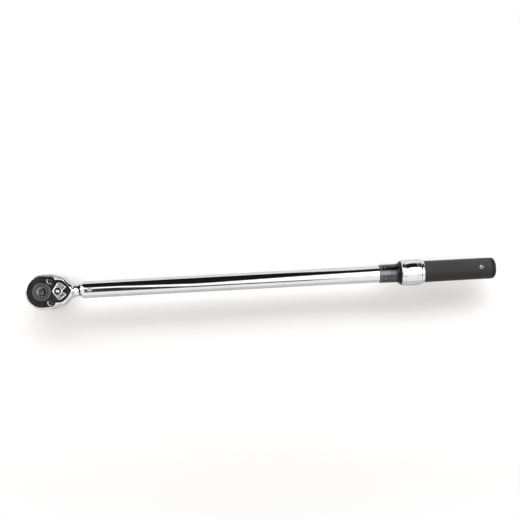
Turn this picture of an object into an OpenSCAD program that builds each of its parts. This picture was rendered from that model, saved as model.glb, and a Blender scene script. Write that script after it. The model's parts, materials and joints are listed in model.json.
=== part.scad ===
// Click-type torque wrench with a reversible ratchet head.
// X runs along the wrench from the drive to the grip, Z runs along the drive axis
// and points out of the selector side. The origin is the centre of the drive square's end face.

/* [Drive] */
// Width across the flats of the drive square
square_af = 12.7; // [12.4:0.1:13]
// Length of the drive square below its shoulder
square_len = 15.5; // [14:0.5:18]
// Number of ratchet teeth on the drive gear
gear_teeth = 36; // [36:12:72]
// Outside radius of the ratchet teeth
gear_r = 15.2; // [15:0.1:15.3]
// Radius of the drive boss that shows through the cover plate
boss_r = 12.3; // [11.5:0.1:12.4]
// How far the quick release button travels
button_travel = 2.5; // [2:0.1:2.5]

/* [Head] */
// Radius of the round end of the head
head_r = 23.4; // [23:0.1:25]
// Thickness of the head along the drive axis
head_h = 24; // [23:0.5:26]
// Distance from the drive axis to the selector axis
selector_x = 21.8; // [21.6:0.1:22.4]
// Radius of the neck between the head and the tube
neck_r = 7.8; // [7.2:0.1:8]
// Half the swing of the selector lever, in degrees
selector_swing = 20; // [15:1:22]
// Half the swing of the pawl, in degrees
pawl_swing = 5; // [4:0.5:5]

/* [Tube] */
// Outside radius of the tube
tube_r = 11.2; // [11:0.1:11.25]
// Wall thickness of the tube
tube_wall = 1.6; // [1.4:0.1:1.7]
// Distance from the drive axis to the front end of the tube
tube_x0 = 50; // [49.5:0.5:51]
// Distance from the drive axis to the rear end of the tube
tube_x1 = 537; // [535:0.5:537.5]
// Distance from the drive axis to the pivot pin of the head
pivot_x = 63; // [62:0.5:64]
// Radius of the pivot pin
pivot_r = 3.25; // [3:0.05:3.4]

/* [Click mechanism] */
// Distance from the drive axis to the rear end of the head's arm
arm_x1 = 133; // [130:1:136]
// Edge length of the tilt block
block_a = 5.5; // [5:0.1:5.6]
// Mean coil radius of the main spring
spring_r = 7.2; // [7:0.1:7.3]
// Wire diameter of the main spring
spring_wire = 3.4; // [3:0.1:3.6]
// Number of coils of the main spring
spring_turns = 19; // [15:1:20]

/* [Handle] */
// Distance from the drive axis to the front edge of the thimble at the lowest setting
thimble_x0 = 450.6; // [448:0.2:452]
// Outside radius of the thimble
thimble_r = 12.3; // [12.1:0.1:12.6]
// Outside radius of the lock ring
ring_r = 17.5; // [17.2:0.1:18]
// How far the lock ring pulls back
ring_travel = 5; // [4:0.5:5]
// Outside radius of the grip at its front end
grip_r = 14.4; // [14.2:0.1:14.8]
// Distance from the drive axis to the end of the handle at the lowest setting
handle_x1 = 606.2; // [605.4:0.2:610]

/* [Hidden] */
$fn = 64;
// lengths that bodies overlap inside one piece, so that its parts fuse
eps = 0.01;
// running clearance of shafts in their bores
run = 0.06;

// levels along Z
shoulder_h = 1;
head_z0 = square_len + shoulder_h;
head_z1 = head_z0 + head_h;
axis_z = head_z0 + head_h / 2;
floor_z = head_z0 + 4;
plate_t = 2.4;
plate_sink = 1.8;
plate_z0 = head_z1 - plate_sink;
plate_z1 = plate_z0 + plate_t;
gear_z0 = floor_z + 0.2;
gear_z1 = plate_z0 - 0.8;
boss_z1 = plate_z1 + 1.9;

// ratchet
tooth_h = 1.2;
journal_r = 12;
cavity_r = gear_r + 0.4;
groove_r = 10.4;
groove_z0 = head_z0 + 1.1;
groove_w = 1.7;
o_ring_r = 0.75;

// quick release
button_r = 5.8;
button_h = 5;
button_z1 = boss_z1 + button_h;
flange_r = 6.5;
flange_h = 1.2;
flange_z0 = boss_z1 - 3;
recess_r = 6.9;
recess_z0 = flange_z0 - button_travel - 0.2;
clip_z0 = flange_z0 + flange_h + 0.35;
clip_t = 0.8;
clip_r0 = 6.1;
clip_r1 = 7.4;
pin_r = 2.65;
pin_z0 = 5;
pin_bore_z0 = pin_z0 - button_travel - 0.3;
release_spring_z0 = 30;
release_pocket_r = 4.3;
release_spring_r = 3.55;
release_wire = 0.8;
ball_r = 2.4;
ball_proud = 1.2;
ball_in = 1.3;
ball_x = square_af / 2 + ball_proud - ball_r;
ball_z = square_len / 2;

// selector and pawl
shaft_r = 4;
shaft_low_r = 2.6;
shaft_step_z = 33.6;
shaft_z0 = floor_z - 2;
lever_z0 = plate_z1 + 0.3;
lever_t = 4.6;
lever_z1 = lever_z0 + lever_t;
lever_recess_r = 4.85;
lever_recess_d = 1.6;
dome_r = 3;
pawl_z0 = floor_z + 2.5;
pawl_z1 = shaft_step_z - 0.4;
pawl_hub_r = 5.6;
pawl_span = 37;
pawl_in_r = gear_r - tooth_h + 0.1;
pawl_out_r = 18.8;
pawl_wall_r0 = 4.9;
pawl_wall_r1 = 6.2;
pawl_wall_span = 35;
pawl_gap = 0.15;
plunger_r = 1.5;
plunger_tip = 4.75;
plunger_tail = 1.9;
plunger_z = 35.9;
detent_r = 1.2;
detent_x = selector_x + shaft_r + detent_r + 0.06;
detent_end_x = 32.6;

// cover plate
plate_r = 20.4;
ear_r = 5.4;
screw_x = 11.6;
screw_y = 14.6;
screw_r = 1.5;
screw_head_r = 3.4;
screw_head_h = 1.7;
screw_sink_r = 4.7;
screw_sink_d = 1.2;
plate_fit = 0.15;

// tube and click mechanism
bore_r = tube_r - tube_wall;
nose_hole_r = 8.5;
nose_len = 6.5;
arm_x0 = tube_x0 + nose_len + 0.3;
neck_x1 = arm_x0 + 1;
arm_w = 12.8;
arm_end_w = 9.2;
arm_h = 12.4;
arm_taper_x = [75, 90];
pocket_d = 1.2;
pocket_side = 0.55;
slide_fit = 0.1;
block_x0 = arm_x1 - pocket_d + 0.1;
block_x1 = block_x0 + block_a;
plunger_x0 = block_x1 + 0.1 - pocket_d;
plunger_x1 = plunger_x0 + 29;
spring_x0 = plunger_x1 + 0.1;
spring_pitch = 10;
spring_x1 = spring_x0 + spring_turns * spring_pitch;
nose_pin_r = 5;
nose_pin_len = 7;

// adjusting gear
seat_x0 = spring_x1 + 0.1;
seat_t = 6;
rod_x0 = seat_x0 + seat_t;
thrust_r = 4;
thrust_x = 499;
cup_d = 1.6;
rod_x1 = thrust_x - thrust_r + cup_d;
rod_r = 7.5;
screw_x0 = thrust_x + thrust_r - cup_d;
adjust_r = 5;
nut_x0 = 515;
nut_x1 = tube_x1 - 2;

// handle, measured from the front edge of the thimble
cone_x0 = thimble_x0 + 24.4;
cone_x1 = thimble_x0 + 28.2;
cone_r = 16;
thimble_x1 = thimble_x0 + 28.9;
core_x0 = thimble_x0 + 26.8;
core_r0 = tube_r + 0.4;
core_front_r = 13.6;
core_rear_r = 12.9;
ring_x0 = thimble_x1 + 0.2;
ring_x1 = thimble_x0 + 56;
cam_r = 14.32;
relief_r = 15.2;
ring_bore_r = 15.9;
cam_x0 = thimble_x0 + 37.9;
cam_x1 = thimble_x0 + 42.4;
lock_ball_r = 1.5;
lock_ball_x = thimble_x0 + 39.9;
lock_balls_n = 6;
lock_ball_c = tube_r + 0.06 + lock_ball_r;
collar_x0 = ring_x1 + 0.2;
collar_x1 = thimble_x0 + 60.2;
collar_r = 15.5;
lock_spring_r = 15.1;
lock_wire = 1.1;
lock_turns = 4;
grip_x0 = collar_x1 + 0.05;
grip_x1 = thimble_x0 + 148.8;
grip_rear_r = 14.2;
core_x1 = thimble_x0 + 145.4;
plug_x0 = thimble_x0 + 131.4;
plug_x1 = core_x1 + 1;
lock_nut_af = 16;
lock_nut_h = 4.8;
adjust_x1 = plug_x1 + lock_nut_h + 0.6;
cap_x0 = plug_x1 + 0.2;
cap_bore_r = 10;
cap_bore_x = adjust_x1 + 0.4;
cap_end_r = 10;
roll_pin_x = thimble_x0 + 134.9;
roll_pin_r = 2.4;
roll_pin_bore = 1.3;
roll_pin_tilt = 8;

// turns a body drawn along Z so that it runs along X on the wrench axis
module along_x(x = 0) {
    translate([x, 0, axis_z]) rotate([0, 90, 0]) children();
}

// solid of revolution about the wrench axis; points are [x, radius]
module turned(points) {
    translate([0, 0, axis_z]) rotate([0, 90, 0]) rotate_extrude($fn = 96)
        polygon([for (p = points) [p[1], p[0]]]);
}

// straight round bar or bore along the wrench axis
module bar(x0, x1, r) {
    along_x(x0) cylinder(r = r, h = x1 - x0, $fn = 96);
}

// upright round post
module post(x, y, z0, z1, r) {
    translate([x, y, z0]) cylinder(r = r, h = z1 - z0);
}

// two discs joined by their outer tangents, which run just inside the discs so that they fuse
module link_2d(a, ra, b, rb) {
    tuck = 0.998;
    dir = atan2(b[1] - a[1], b[0] - a[0]);
    off = acos((ra - rb) / norm(b - a));
    translate(a) circle(r = ra);
    translate(b) circle(r = rb);
    polygon([
        a + tuck * ra * [cos(dir + off), sin(dir + off)],
        b + tuck * rb * [cos(dir + off), sin(dir + off)],
        b + tuck * rb * [cos(dir - off), sin(dir - off)],
        a + tuck * ra * [cos(dir - off), sin(dir - off)],
    ]);
}

// the same shape on both sides of the wrench's middle plane
module both_sides() {
    children();
    mirror([0, 1, 0]) children();
}

// cross-section of a round wire cut square to its coil's axis
function coil_section(r, w, pitch, n) = [
    for (i = [0:n - 1])
        let (t = 360 * i / n, a = 360 * w * sin(t) / pitch, q = r + w * cos(t))
        [q * cos(a), q * sin(a)]
];

// helical spring along Z with n sides to its wire
module coil(r, wire, length, turns, sides, steps) {
    w = wire / 2;
    pitch = (length - wire) / turns;
    translate([0, 0, w]) linear_extrude(
        height = length - wire, twist = -360 * turns, slices = turns * steps, segments = sides
    )
        polygon(coil_section(r, w, pitch, sides));
}

// ratchet wheel outline, grown by gap
module gear_2d(gap = 0) {
    step = 360 / gear_teeth;
    tip = gear_r + gap;
    root = gear_r - tooth_h + gap;
    half_tip = step * 0.12 + gap * 180 / (PI * gear_r);
    half_root = step * 0.42 + gap * 180 / (PI * gear_r);
    polygon([
        for (i = [0:gear_teeth - 1], k = [-1, 1], j = [0, 1])
            let (
                low = (k < 0) ? j == 0 : j == 1,
                r = low ? root : tip,
                a = step * i + k * min(low ? half_root : half_tip, step / 2 - 0.02)
            )
            [r * cos(a), r * sin(a)]
    ]);
}

// outline of the head, drawn in by inset
module head_2d(inset = 0) {
    waist = [24, 7];
    shoulder = [11, 13];
    shoulder_r = 10.2;
    throat = [35.5, 0];
    circle(r = head_r - inset);
    both_sides() {
        link_2d([0, 0], head_r - inset, shoulder, shoulder_r - inset);
        link_2d(shoulder, shoulder_r - inset, waist, 11.6 - inset);
        link_2d(waist, 11.6 - inset, throat, 9.8 - inset * 0.5);
    }
    translate([selector_x, 0]) square([16, 18], center = true);
}

// outline of the cover plate, grown by gap
module plate_2d(gap = 0) {
    tip = [36.6, 0];
    both_sides() link_2d([0, 0], plate_r + gap, [screw_x, screw_y], ear_r + gap);
    link_2d([selector_x - 0.8, 0], 14.8 + gap, tip, 2 + gap);
    translate([selector_x / 2, 0]) square([selector_x, 26], center = true);
}

// room for the pawl, between the gear and the selector shaft
module pawl_room_2d() {
    translate([selector_x, 0]) circle(r = 7.2);
    both_sides() link_2d([14.6, 7.6], 4.6, [selector_x - 0.4, 0], 6.6);
}

// forged head with its neck, and the arm that reaches into the tube
module head_body() {
    bevel = 4;
    steps = 5;
    color("silver") difference() {
        union() {
            for (i = [0:steps]) {
                a = 90 * i / steps;
                drop = bevel * (1 - sin(a));
                translate([0, 0, head_z0 + drop])
                    linear_extrude(head_h - 2 * drop) head_2d(bevel * 0.55 * (1 - cos(a)));
            }
            turned([
                [30, 0],
                [30, 10.8],
                [37, 10.4],
                [43, 9.2],
                [48, neck_r],
                [neck_x1, neck_r],
                [neck_x1, 0],
            ]);
            translate([0, 0, axis_z - arm_h / 2]) linear_extrude(arm_h) polygon([
                [arm_x0, -arm_w / 2],
                [arm_taper_x[0], -arm_w / 2],
                [arm_taper_x[1], -arm_end_w / 2],
                [arm_x1, -arm_end_w / 2],
                [arm_x1, arm_end_w / 2],
                [arm_taper_x[1], arm_end_w / 2],
                [arm_taper_x[0], arm_w / 2],
                [arm_x0, arm_w / 2],
            ]);
        }
        // seat of the cover plate
        translate([0, 0, plate_z0]) linear_extrude(plate_sink + 1) plate_2d(plate_fit);
        // gear cavity, bottom bearing and pawl room
        post(0, 0, floor_z, head_z1, cavity_r);
        post(0, 0, head_z0 - 1, head_z1, journal_r + run);
        translate([0, 0, floor_z]) linear_extrude(head_h) pawl_room_2d();
        post(selector_x, 0, shaft_z0 - 0.3, head_z1, shaft_low_r + run);
        // selector detent
        translate([selector_x, 0, plunger_z]) rotate([0, 90, 0])
            cylinder(r = detent_r + 0.1, h = detent_end_x - selector_x);
        // cover screws
        for (s = [-1, 1]) post(screw_x, s * screw_y, plate_z0 - 8, head_z1, screw_r + 0.05);
        // pivot pin
        post(pivot_x, 0, axis_z - tube_r, axis_z + tube_r, pivot_r + 0.05);
        // pocket for the tilt block
        pocket = block_a + 2 * pocket_side;
        translate([arm_x1 - pocket_d, -pocket / 2, axis_z - block_a / 2 - 0.3])
            cube([pocket_d + 1, pocket, block_a + 0.6]);
    }
}

// dark plate that closes the ratchet
module cover_plate() {
    edge = 0.35;
    color([0.13, 0.13, 0.14]) difference() {
        union() {
            translate([0, 0, plate_z0]) linear_extrude(plate_t - edge) plate_2d();
            translate([0, 0, plate_z0 + 0.5]) linear_extrude(plate_t - 0.5) plate_2d(-edge);
        }
        post(0, 0, plate_z0 - 1, plate_z1 + 1, boss_r + run);
        post(selector_x, 0, plate_z0 - 1, plate_z1 + 1, shaft_r + run);
        for (s = [-1, 1]) {
            post(screw_x, s * screw_y, plate_z0 - 1, plate_z1 + 1, screw_r + 0.1);
            post(screw_x, s * screw_y, plate_z1 - screw_sink_d, plate_z1 + 1, screw_sink_r);
        }
    }
}

// two socket screws of the cover plate
module cover_screws() {
    seat = plate_z1 - screw_sink_d;
    socket_r = 1.5;
    color([0.2, 0.2, 0.22]) for (s = [-1, 1]) difference() {
        union() {
            post(screw_x, s * screw_y, seat, seat + screw_head_h, screw_head_r);
            post(screw_x, s * screw_y, seat - 8, seat + eps, screw_r);
        }
        translate([screw_x, s * screw_y, seat + 0.5]) cylinder(r = socket_r, h = 2, $fn = 6);
    }
}

// ball that holds the selector in its positions
module selector_detent_ball() {
    color("silver") translate([detent_x, 0, plunger_z]) sphere(r = detent_r);
}

// spring behind the selector's ball
module selector_detent_spring() {
    x0 = detent_x + detent_r + 0.05;
    color("gray") translate([x0, 0, plunger_z]) rotate([0, 90, 0])
        coil(0.9, 0.35, detent_end_x - 0.05 - x0, 5, 12, 10);
}

// drive square, journal, ratchet wheel and boss in one piece
module drive_gear() {
    corner_r = square_af * 0.675;
    color([0.45, 0.45, 0.47]) difference() {
        union() {
            intersection() {
                translate([0, 0, square_len / 2 + 1])
                    cube([square_af, square_af, square_len + 2], center = true);
                rotate_extrude($fn = 96) polygon([
                    [0, 0], [corner_r - 1.2, 0], [corner_r, 1.4], [corner_r, head_z0], [0, head_z0],
                ]);
            }
            post(0, 0, square_len, head_z0 + eps, journal_r - 1);
            post(0, 0, head_z0, gear_z0 + eps, journal_r);
            translate([0, 0, gear_z0]) linear_extrude(gear_z1 - gear_z0) gear_2d();
            rotate_extrude($fn = 96) polygon([
                [0, gear_z1 - eps],
                [boss_r, gear_z1 - eps],
                [boss_r, boss_z1 - 0.7],
                [boss_r - 0.7, boss_z1],
                [0, boss_z1],
            ]);
        }
        // groove of the sealing ring
        difference() {
            post(0, 0, groove_z0, groove_z0 + groove_w, journal_r + 1);
            post(0, 0, groove_z0 - 1, groove_z0 + groove_w + 1, groove_r);
        }
        // button recess with the groove of its clip, spring pocket and pin bore
        post(0, 0, recess_z0, boss_z1 + 1, recess_r);
        post(0, 0, clip_z0, clip_z0 + clip_t, clip_r1);
        post(0, 0, release_spring_z0, boss_z1, release_pocket_r);
        post(0, 0, pin_bore_z0, boss_z1, pin_r + run);
        // ball hole with a staked mouth
        translate([0, 0, ball_z]) rotate([0, -90, 0]) cylinder(r = ball_r + 0.06, h = square_af / 2 - 0.2);
        translate([0, 0, ball_z]) rotate([0, -90, 0]) cylinder(r = ball_r - 0.13, h = square_af);
    }
}

// rubber ring that seals the drive's bottom journal
module drive_o_ring() {
    color([0.1, 0.1, 0.1]) translate([0, 0, groove_z0 + groove_w / 2])
        rotate_extrude($fn = 96) translate([groove_r + o_ring_r + 0.02, 0]) circle(r = o_ring_r, $fn = 24);
}

// snap ring that keeps the button in the boss
module button_clip() {
    color([0.16, 0.16, 0.17]) difference() {
        post(0, 0, clip_z0 + 0.03, clip_z0 + clip_t - 0.03, clip_r1 - 0.04);
        post(0, 0, clip_z0 - 1, clip_z0 + clip_t + 1, clip_r0);
        translate([-clip_r1, -1, clip_z0 - 1]) cube([clip_r1 / 2, 2, clip_t + 2]);
    }
}

// quick release button with a dished top
module release_button() {
    dish_r = 16;
    dish_d = 0.7;
    color([0.5, 0.5, 0.52]) difference() {
        rotate_extrude($fn = 96) polygon([
            [0, flange_z0],
            [flange_r, flange_z0],
            [flange_r, flange_z0 + flange_h],
            [button_r, flange_z0 + flange_h],
            [button_r, button_z1 - 0.8],
            [button_r - 0.8, button_z1],
            [0, button_z1],
        ]);
        translate([0, 0, button_z1 - dish_d + dish_r]) sphere(r = dish_r, $fn = 128);
        post(0, 0, flange_z0 - 1, flange_z0 + 3, pin_r - 0.65);
    }
}

// pin under the button, necked where the ball drops in
module release_pin() {
    steps = 6;
    color("silver") difference() {
        union() {
            post(0, 0, pin_z0, flange_z0, pin_r);
            post(0, 0, flange_z0 - eps, flange_z0 + 2.9, pin_r - 0.67);
        }
        rotate_extrude($fn = 64) for (i = [0:steps])
            translate([ball_x - ball_in * i / steps, ball_z + button_travel * i / steps])
                circle(r = ball_r + 0.1, $fn = 48);
    }
}

// spring that lifts the button
module release_spring() {
    color("gray") translate([0, 0, release_spring_z0 + 0.03])
        coil(release_spring_r, release_wire, flange_z0 - release_spring_z0 - 0.06, 6, 12, 12);
}

// ball that holds a socket on the drive square
module detent_ball() {
    color("silver") translate([-ball_x, 0, ball_z]) sphere(r = ball_r);
}

// butterfly outline of the selector lever
module lever_2d() {
    hub = [0, 0];
    lobe = [2.2, 8];
    horn = [9.3, 5];
    link_2d(hub, 6.2, [-5.6, 0], 1.7);
    both_sides() {
        link_2d(lobe, 3.7, hub, 6);
        link_2d(lobe, 3.7, horn, 1.7);
        link_2d(horn, 1.7, [3, 1.5], 3);
    }
}

// selector lever: two wings round a recessed centre
module selector_lever() {
    color("silver") difference() {
        translate([selector_x, 0, lever_z0]) union() {
            linear_extrude(lever_t - 1) lever_2d();
            translate([0, 0, lever_t - 1 - eps]) linear_extrude(1 + eps) scale(0.92) lever_2d();
        }
        post(selector_x, 0, lever_z1 - lever_recess_d, lever_z1 + 1, lever_recess_r);
        post(selector_x, 0, lever_z0 - 1, lever_z1 + 1, dome_r + 0.02);
    }
}

// shaft of the selector with a domed head
module selector_shaft() {
    dome_ball = 3.6;
    dome_z = lever_z1 - 0.6;
    color([0.75, 0.75, 0.77]) difference() {
        union() {
            post(selector_x, 0, shaft_z0, shaft_step_z + eps, shaft_low_r);
            post(selector_x, 0, shaft_step_z, lever_z0 - 0.05, shaft_r);
            intersection() {
                post(selector_x, 0, lever_z0 - 0.1, lever_z1 + 2, dome_r);
                translate([selector_x, 0, dome_z - dome_ball + 1.2]) union() {
                    sphere(r = dome_ball);
                    translate([0, 0, -6]) cylinder(r = dome_r + 1, h = 6 + 1.2);
                }
            }
        }
        // cross hole of the pawl plunger
        translate([selector_x + 1, 0, plunger_z]) rotate([0, -90, 0]) cylinder(r = plunger_r + run, h = 6);
        // shallow seats for the detent ball
        for (a = [-selector_swing, 0, selector_swing])
            translate([selector_x, 0, plunger_z]) rotate([0, 0, a]) translate([shaft_r + 0.9, 0, 0])
                sphere(r = detent_r);
    }
}

// plunger that tilts the pawl
module pawl_plunger() {
    tip_r = plunger_r;
    color("silver") translate([selector_x, 0, plunger_z]) rotate([0, -90, 0]) {
        translate([0, 0, plunger_tail]) cylinder(r = plunger_r, h = plunger_tip - tip_r - plunger_tail);
        translate([0, 0, plunger_tip - tip_r]) sphere(r = tip_r);
    }
}

// spring behind the pawl's plunger
module pawl_spring() {
    tail = -0.95;
    color("gray") translate([selector_x, 0, plunger_z]) rotate([0, -90, 0])
        translate([0, 0, tail]) coil(1.05, 0.4, plunger_tail - tail - 0.03, 4, 12, 10);
}

// flat ring sector round the origin
module sector_2d(r0, r1, half) {
    far = 2 * r1;
    intersection() {
        difference() {
            circle(r = r1, $fn = 96);
            circle(r = r0, $fn = 96);
        }
        polygon([[0, 0], [far * cos(half), -far * sin(half)], [far * cos(half), far * sin(half)]]);
    }
}

// rocking pawl with a toothed pad at each end
module pawl() {
    steps = 8;
    color([0.4, 0.4, 0.42]) difference() {
        union() {
            translate([0, 0, pawl_z0]) linear_extrude(pawl_z1 - pawl_z0) {
                translate([selector_x, 0]) circle(r = pawl_hub_r);
                sector_2d(pawl_in_r, pawl_out_r, pawl_span);
            }
            translate([selector_x, 0, pawl_z1 - eps]) rotate([0, 0, 180])
                linear_extrude(plate_z0 - 0.8 - pawl_z1) sector_2d(pawl_wall_r0, pawl_wall_r1, pawl_wall_span);
        }
        post(selector_x, 0, pawl_z0 - 1, pawl_z1 + eps, shaft_low_r + run);
        // the gear, swept through the pawl's whole swing
        translate([selector_x, 0, pawl_z0 - 1]) linear_extrude(head_h) for (i = [-steps:steps])
            rotate(-pawl_swing * i / steps) translate([-selector_x, 0]) gear_2d(pawl_gap);
    }
}

// long chromed tube with a rounded nose
module tube() {
    color("silver") difference() {
        turned([
            [tube_x0, nose_hole_r],
            [tube_x0, 8.9],
            [tube_x0 + 0.8, 9.7],
            [tube_x0 + 2.2, 10.5],
            [tube_x0 + 4.2, 11],
            [tube_x0 + nose_len, tube_r],
            [tube_x1, tube_r],
            [tube_x1, bore_r],
            [tube_x0 + nose_len, bore_r],
            [tube_x0 + nose_len - 1.5, nose_hole_r],
        ]);
        post(pivot_x, 0, axis_z - 2 * tube_r, axis_z + 2 * tube_r, pivot_r + 0.02);
    }
}

// pin the head swings on, ground flush with the tube
module pivot_pin() {
    color([0.6, 0.6, 0.62]) intersection() {
        post(pivot_x, 0, axis_z - 2 * tube_r, axis_z + 2 * tube_r, pivot_r);
        bar(pivot_x - 2 * pivot_r, pivot_x + 2 * pivot_r, tube_r);
    }
}

// nut fixed in the rear of the tube
module adjusting_nut() {
    color([0.72, 0.6, 0.3]) difference() {
        bar(nut_x0, nut_x1, bore_r - 0.02);
        bar(nut_x0 - 1, nut_x1 + 1, adjust_r + run);
    }
}

// small block that tips over when the set torque is reached
module tilt_block() {
    chamfer = 0.25;
    color([0.35, 0.35, 0.37]) translate([(block_x0 + block_x1) / 2, 0, axis_z - block_a / 2])
        linear_extrude(block_a) intersection() {
            square(block_a, center = true);
            rotate(45) square((block_a - chamfer) * sqrt(2), center = true);
        }
}

// plunger between the tilt block and the main spring
module plunger() {
    pocket = block_a + 2 * pocket_side;
    color([0.55, 0.55, 0.57]) difference() {
        turned([
            [plunger_x0, 0],
            [plunger_x0, bore_r - 1.6],
            [plunger_x0 + 1.5, bore_r - slide_fit],
            [plunger_x1, bore_r - slide_fit],
            [plunger_x1, nose_pin_r],
            [plunger_x1 + nose_pin_len, nose_pin_r - 0.6],
            [plunger_x1 + nose_pin_len, 0],
        ]);
        translate([plunger_x0 - 1, -pocket / 2, axis_z - block_a / 2 - 0.3])
            cube([pocket_d + 1, pocket, block_a + 0.6]);
    }
}

// main spring that sets the torque
module main_spring() {
    color([0.3, 0.3, 0.33]) along_x(spring_x0)
        coil(spring_r, spring_wire, spring_x1 - spring_x0, spring_turns, 10, 12);
}

// cup that carries the rear end of the main spring
module spring_seat() {
    color([0.55, 0.55, 0.57]) turned([
        [seat_x0 - nose_pin_len, 0],
        [seat_x0 - nose_pin_len, nose_pin_r - 0.6],
        [seat_x0, nose_pin_r],
        [seat_x0, bore_r - slide_fit],
        [rod_x0 - 0.02, bore_r - slide_fit],
        [rod_x0 - 0.02, 0],
    ]);
}

// rod that carries the adjusting screw's push to the spring
module spacer_rod() {
    color([0.5, 0.5, 0.52]) difference() {
        bar(rod_x0, rod_x1, rod_r);
        translate([thrust_x, 0, axis_z]) sphere(r = thrust_r + 0.04);
    }
}

// ball between the rod and the turning screw
module thrust_ball() {
    color("silver") translate([thrust_x, 0, axis_z]) sphere(r = thrust_r);
}

// dark graduated thimble with a flared rear end
module thimble() {
    color([0.16, 0.17, 0.2]) turned([
        [thimble_x0, tube_r + run],
        [thimble_x0, thimble_r - 0.5],
        [thimble_x0 + 0.6, thimble_r],
        [cone_x0, thimble_r],
        [cone_x1, cone_r],
        [thimble_x1, cone_r],
        [thimble_x1, core_front_r + 0.02],
        [core_x0 - 0.05, core_front_r + 0.02],
        [core_x0 - 0.05, tube_r + run],
    ]);
}

// inner tube of the handle, under the lock ring and the grip
module handle_tube() {
    color([0.6, 0.6, 0.62]) difference() {
        turned([
            [core_x0, core_r0],
            [core_x0, core_front_r],
            [collar_x1, core_front_r],
            [collar_x1, core_rear_r],
            [core_x1, core_rear_r],
            [core_x1, core_r0],
        ]);
        for (i = [0:lock_balls_n - 1]) along_x(lock_ball_x) rotate([0, 0, 360 * i / lock_balls_n])
            rotate([0, 90, 0]) translate([0, 0, core_r0 - 1])
                cylinder(r = lock_ball_r + 0.05, h = core_front_r - core_r0 + 2);
        roll_pin_cut(roll_pin_r + 0.02);
    }
}

// balls that the lock ring wedges against the tube
module lock_balls() {
    color("silver") for (i = [0:lock_balls_n - 1])
        along_x(lock_ball_x) rotate([0, 0, 360 * i / lock_balls_n]) translate([lock_ball_c, 0, 0])
            sphere(r = lock_ball_r, $fn = 32);
}

// collar that the lock spring pushes against
module lock_collar() {
    color([0.8, 0.8, 0.82]) turned([
        [collar_x0, core_front_r + 0.02],
        [collar_x0, collar_r],
        [collar_x1 - 1, collar_r],
        [collar_x1, collar_r - 0.8],
        [collar_x1, core_front_r + 0.02],
    ]);
}

// radial hole of the roll pin
module roll_pin_cut(r) {
    translate([roll_pin_x, 0, axis_z]) rotate([-roll_pin_tilt, 0, 0]) cylinder(r = r, h = 2 * grip_r);
}

// black grip sleeve
module grip() {
    rear_x = grip_x1 - 0.8;
    color([0.1, 0.1, 0.11]) difference() {
        turned([
            [grip_x0, core_rear_r + 0.02],
            [grip_x0, grip_r - 0.7],
            [grip_x0 + 0.7, grip_r],
            [rear_x, grip_rear_r],
            [grip_x1, grip_rear_r],
            [grip_x1, core_rear_r + 0.02],
        ]);
        roll_pin_cut(roll_pin_r + 0.02);
    }
}

// plug in the rear of the handle tube that drives the adjusting screw
module end_plug() {
    color([0.55, 0.55, 0.57]) difference() {
        bar(plug_x0, plug_x1, core_r0 - 0.02);
        bar(plug_x0 - 1, plug_x1 + 1, adjust_r + 0.01);
        roll_pin_cut(roll_pin_r + 0.02);
    }
}

// rolled pin that fixes the grip and the plug to the handle tube
module roll_pin() {
    root = adjust_r + 1.2;
    color([0.8, 0.8, 0.82]) translate([roll_pin_x, 0, axis_z]) rotate([-roll_pin_tilt, 0, 0])
        difference() {
            translate([0, 0, root]) cylinder(r = roll_pin_r, h = grip_rear_r + 0.12 - root);
            cylinder(r = roll_pin_bore, h = 2 * grip_r);
        }
}

// screw that moves the handle along the tube
module adjusting_screw() {
    color([0.65, 0.65, 0.67]) difference() {
        bar(screw_x0, adjust_x1, adjust_r);
        translate([thrust_x, 0, axis_z]) sphere(r = thrust_r + 0.06);
    }
}

// nut that locks the screw to the plug
module lock_nut() {
    color([0.75, 0.75, 0.77]) difference() {
        along_x(plug_x1 + 0.02) cylinder(r = lock_nut_af / sqrt(3), h = lock_nut_h, $fn = 6);
        bar(plug_x1 - 1, adjust_x1 + 1, adjust_r + 0.01);
    }
}

// black cap with a rounded end
module end_cap() {
    color([0.1, 0.1, 0.11]) turned([
        [cap_x0, cap_bore_r],
        [cap_x0, core_rear_r],
        [grip_x1 + 0.05, core_rear_r],
        [grip_x1 + 0.05, grip_rear_r],
        [handle_x1 - 5.6, grip_rear_r],
        [handle_x1 - 3.2, grip_rear_r - 0.6],
        [handle_x1 - 1.2, grip_rear_r - 2],
        [handle_x1, cap_end_r],
        [handle_x1, 0],
        [cap_bore_x, 0],
        [cap_bore_x, cap_bore_r],
    ]);
}

// corner points of a groove round the lock ring: start, width, depth, slope of its sides
function ring_groove(x, w, d, s) = [
    [ring_x0 + x - s, ring_r],
    [ring_x0 + x, ring_r - d],
    [ring_x0 + x + w, ring_r - d],
    [ring_x0 + x + w + s, ring_r],
];

// chromed lock ring that pulls back to free the handle
module lock_ring() {
    rim = 0.9;
    front_rim = 1.4;
    step_d = 0.8;
    step_x = ring_x0 + 24;
    relief_x0 = cam_x0 - ring_travel + 0.6;
    color("silver") turned(concat(
        [[ring_x0, core_front_r + run], [ring_x0, ring_r - front_rim], [ring_x0 + front_rim, ring_r]],
        ring_groove(3.9, 1.4, 0.8, 0.5),
        ring_groove(20.6, 0.7, 0.4, 0.4),
        [
            [step_x - 0.4, ring_r],
            [step_x, ring_r - step_d],
            [step_x + 1, ring_r - step_d],
            [ring_x1 - rim, ring_r - step_d / 2],
            [ring_x1, ring_r - rim],
            [ring_x1, ring_bore_r],
            [cam_x1, ring_bore_r],
            [cam_x1, cam_r],
            [cam_x0, cam_r],
            [cam_x0 - 1, relief_r],
            [relief_x0, relief_r],
            [relief_x0 - 1, core_front_r + run],
        ]
    ));
}

// spring that pushes the lock ring forward
module lock_spring() {
    color("gray") along_x(cam_x1 + 0.05)
        coil(lock_spring_r, lock_wire, collar_x0 - cam_x1 - 0.1, lock_turns, 12, 16);
}

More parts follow.
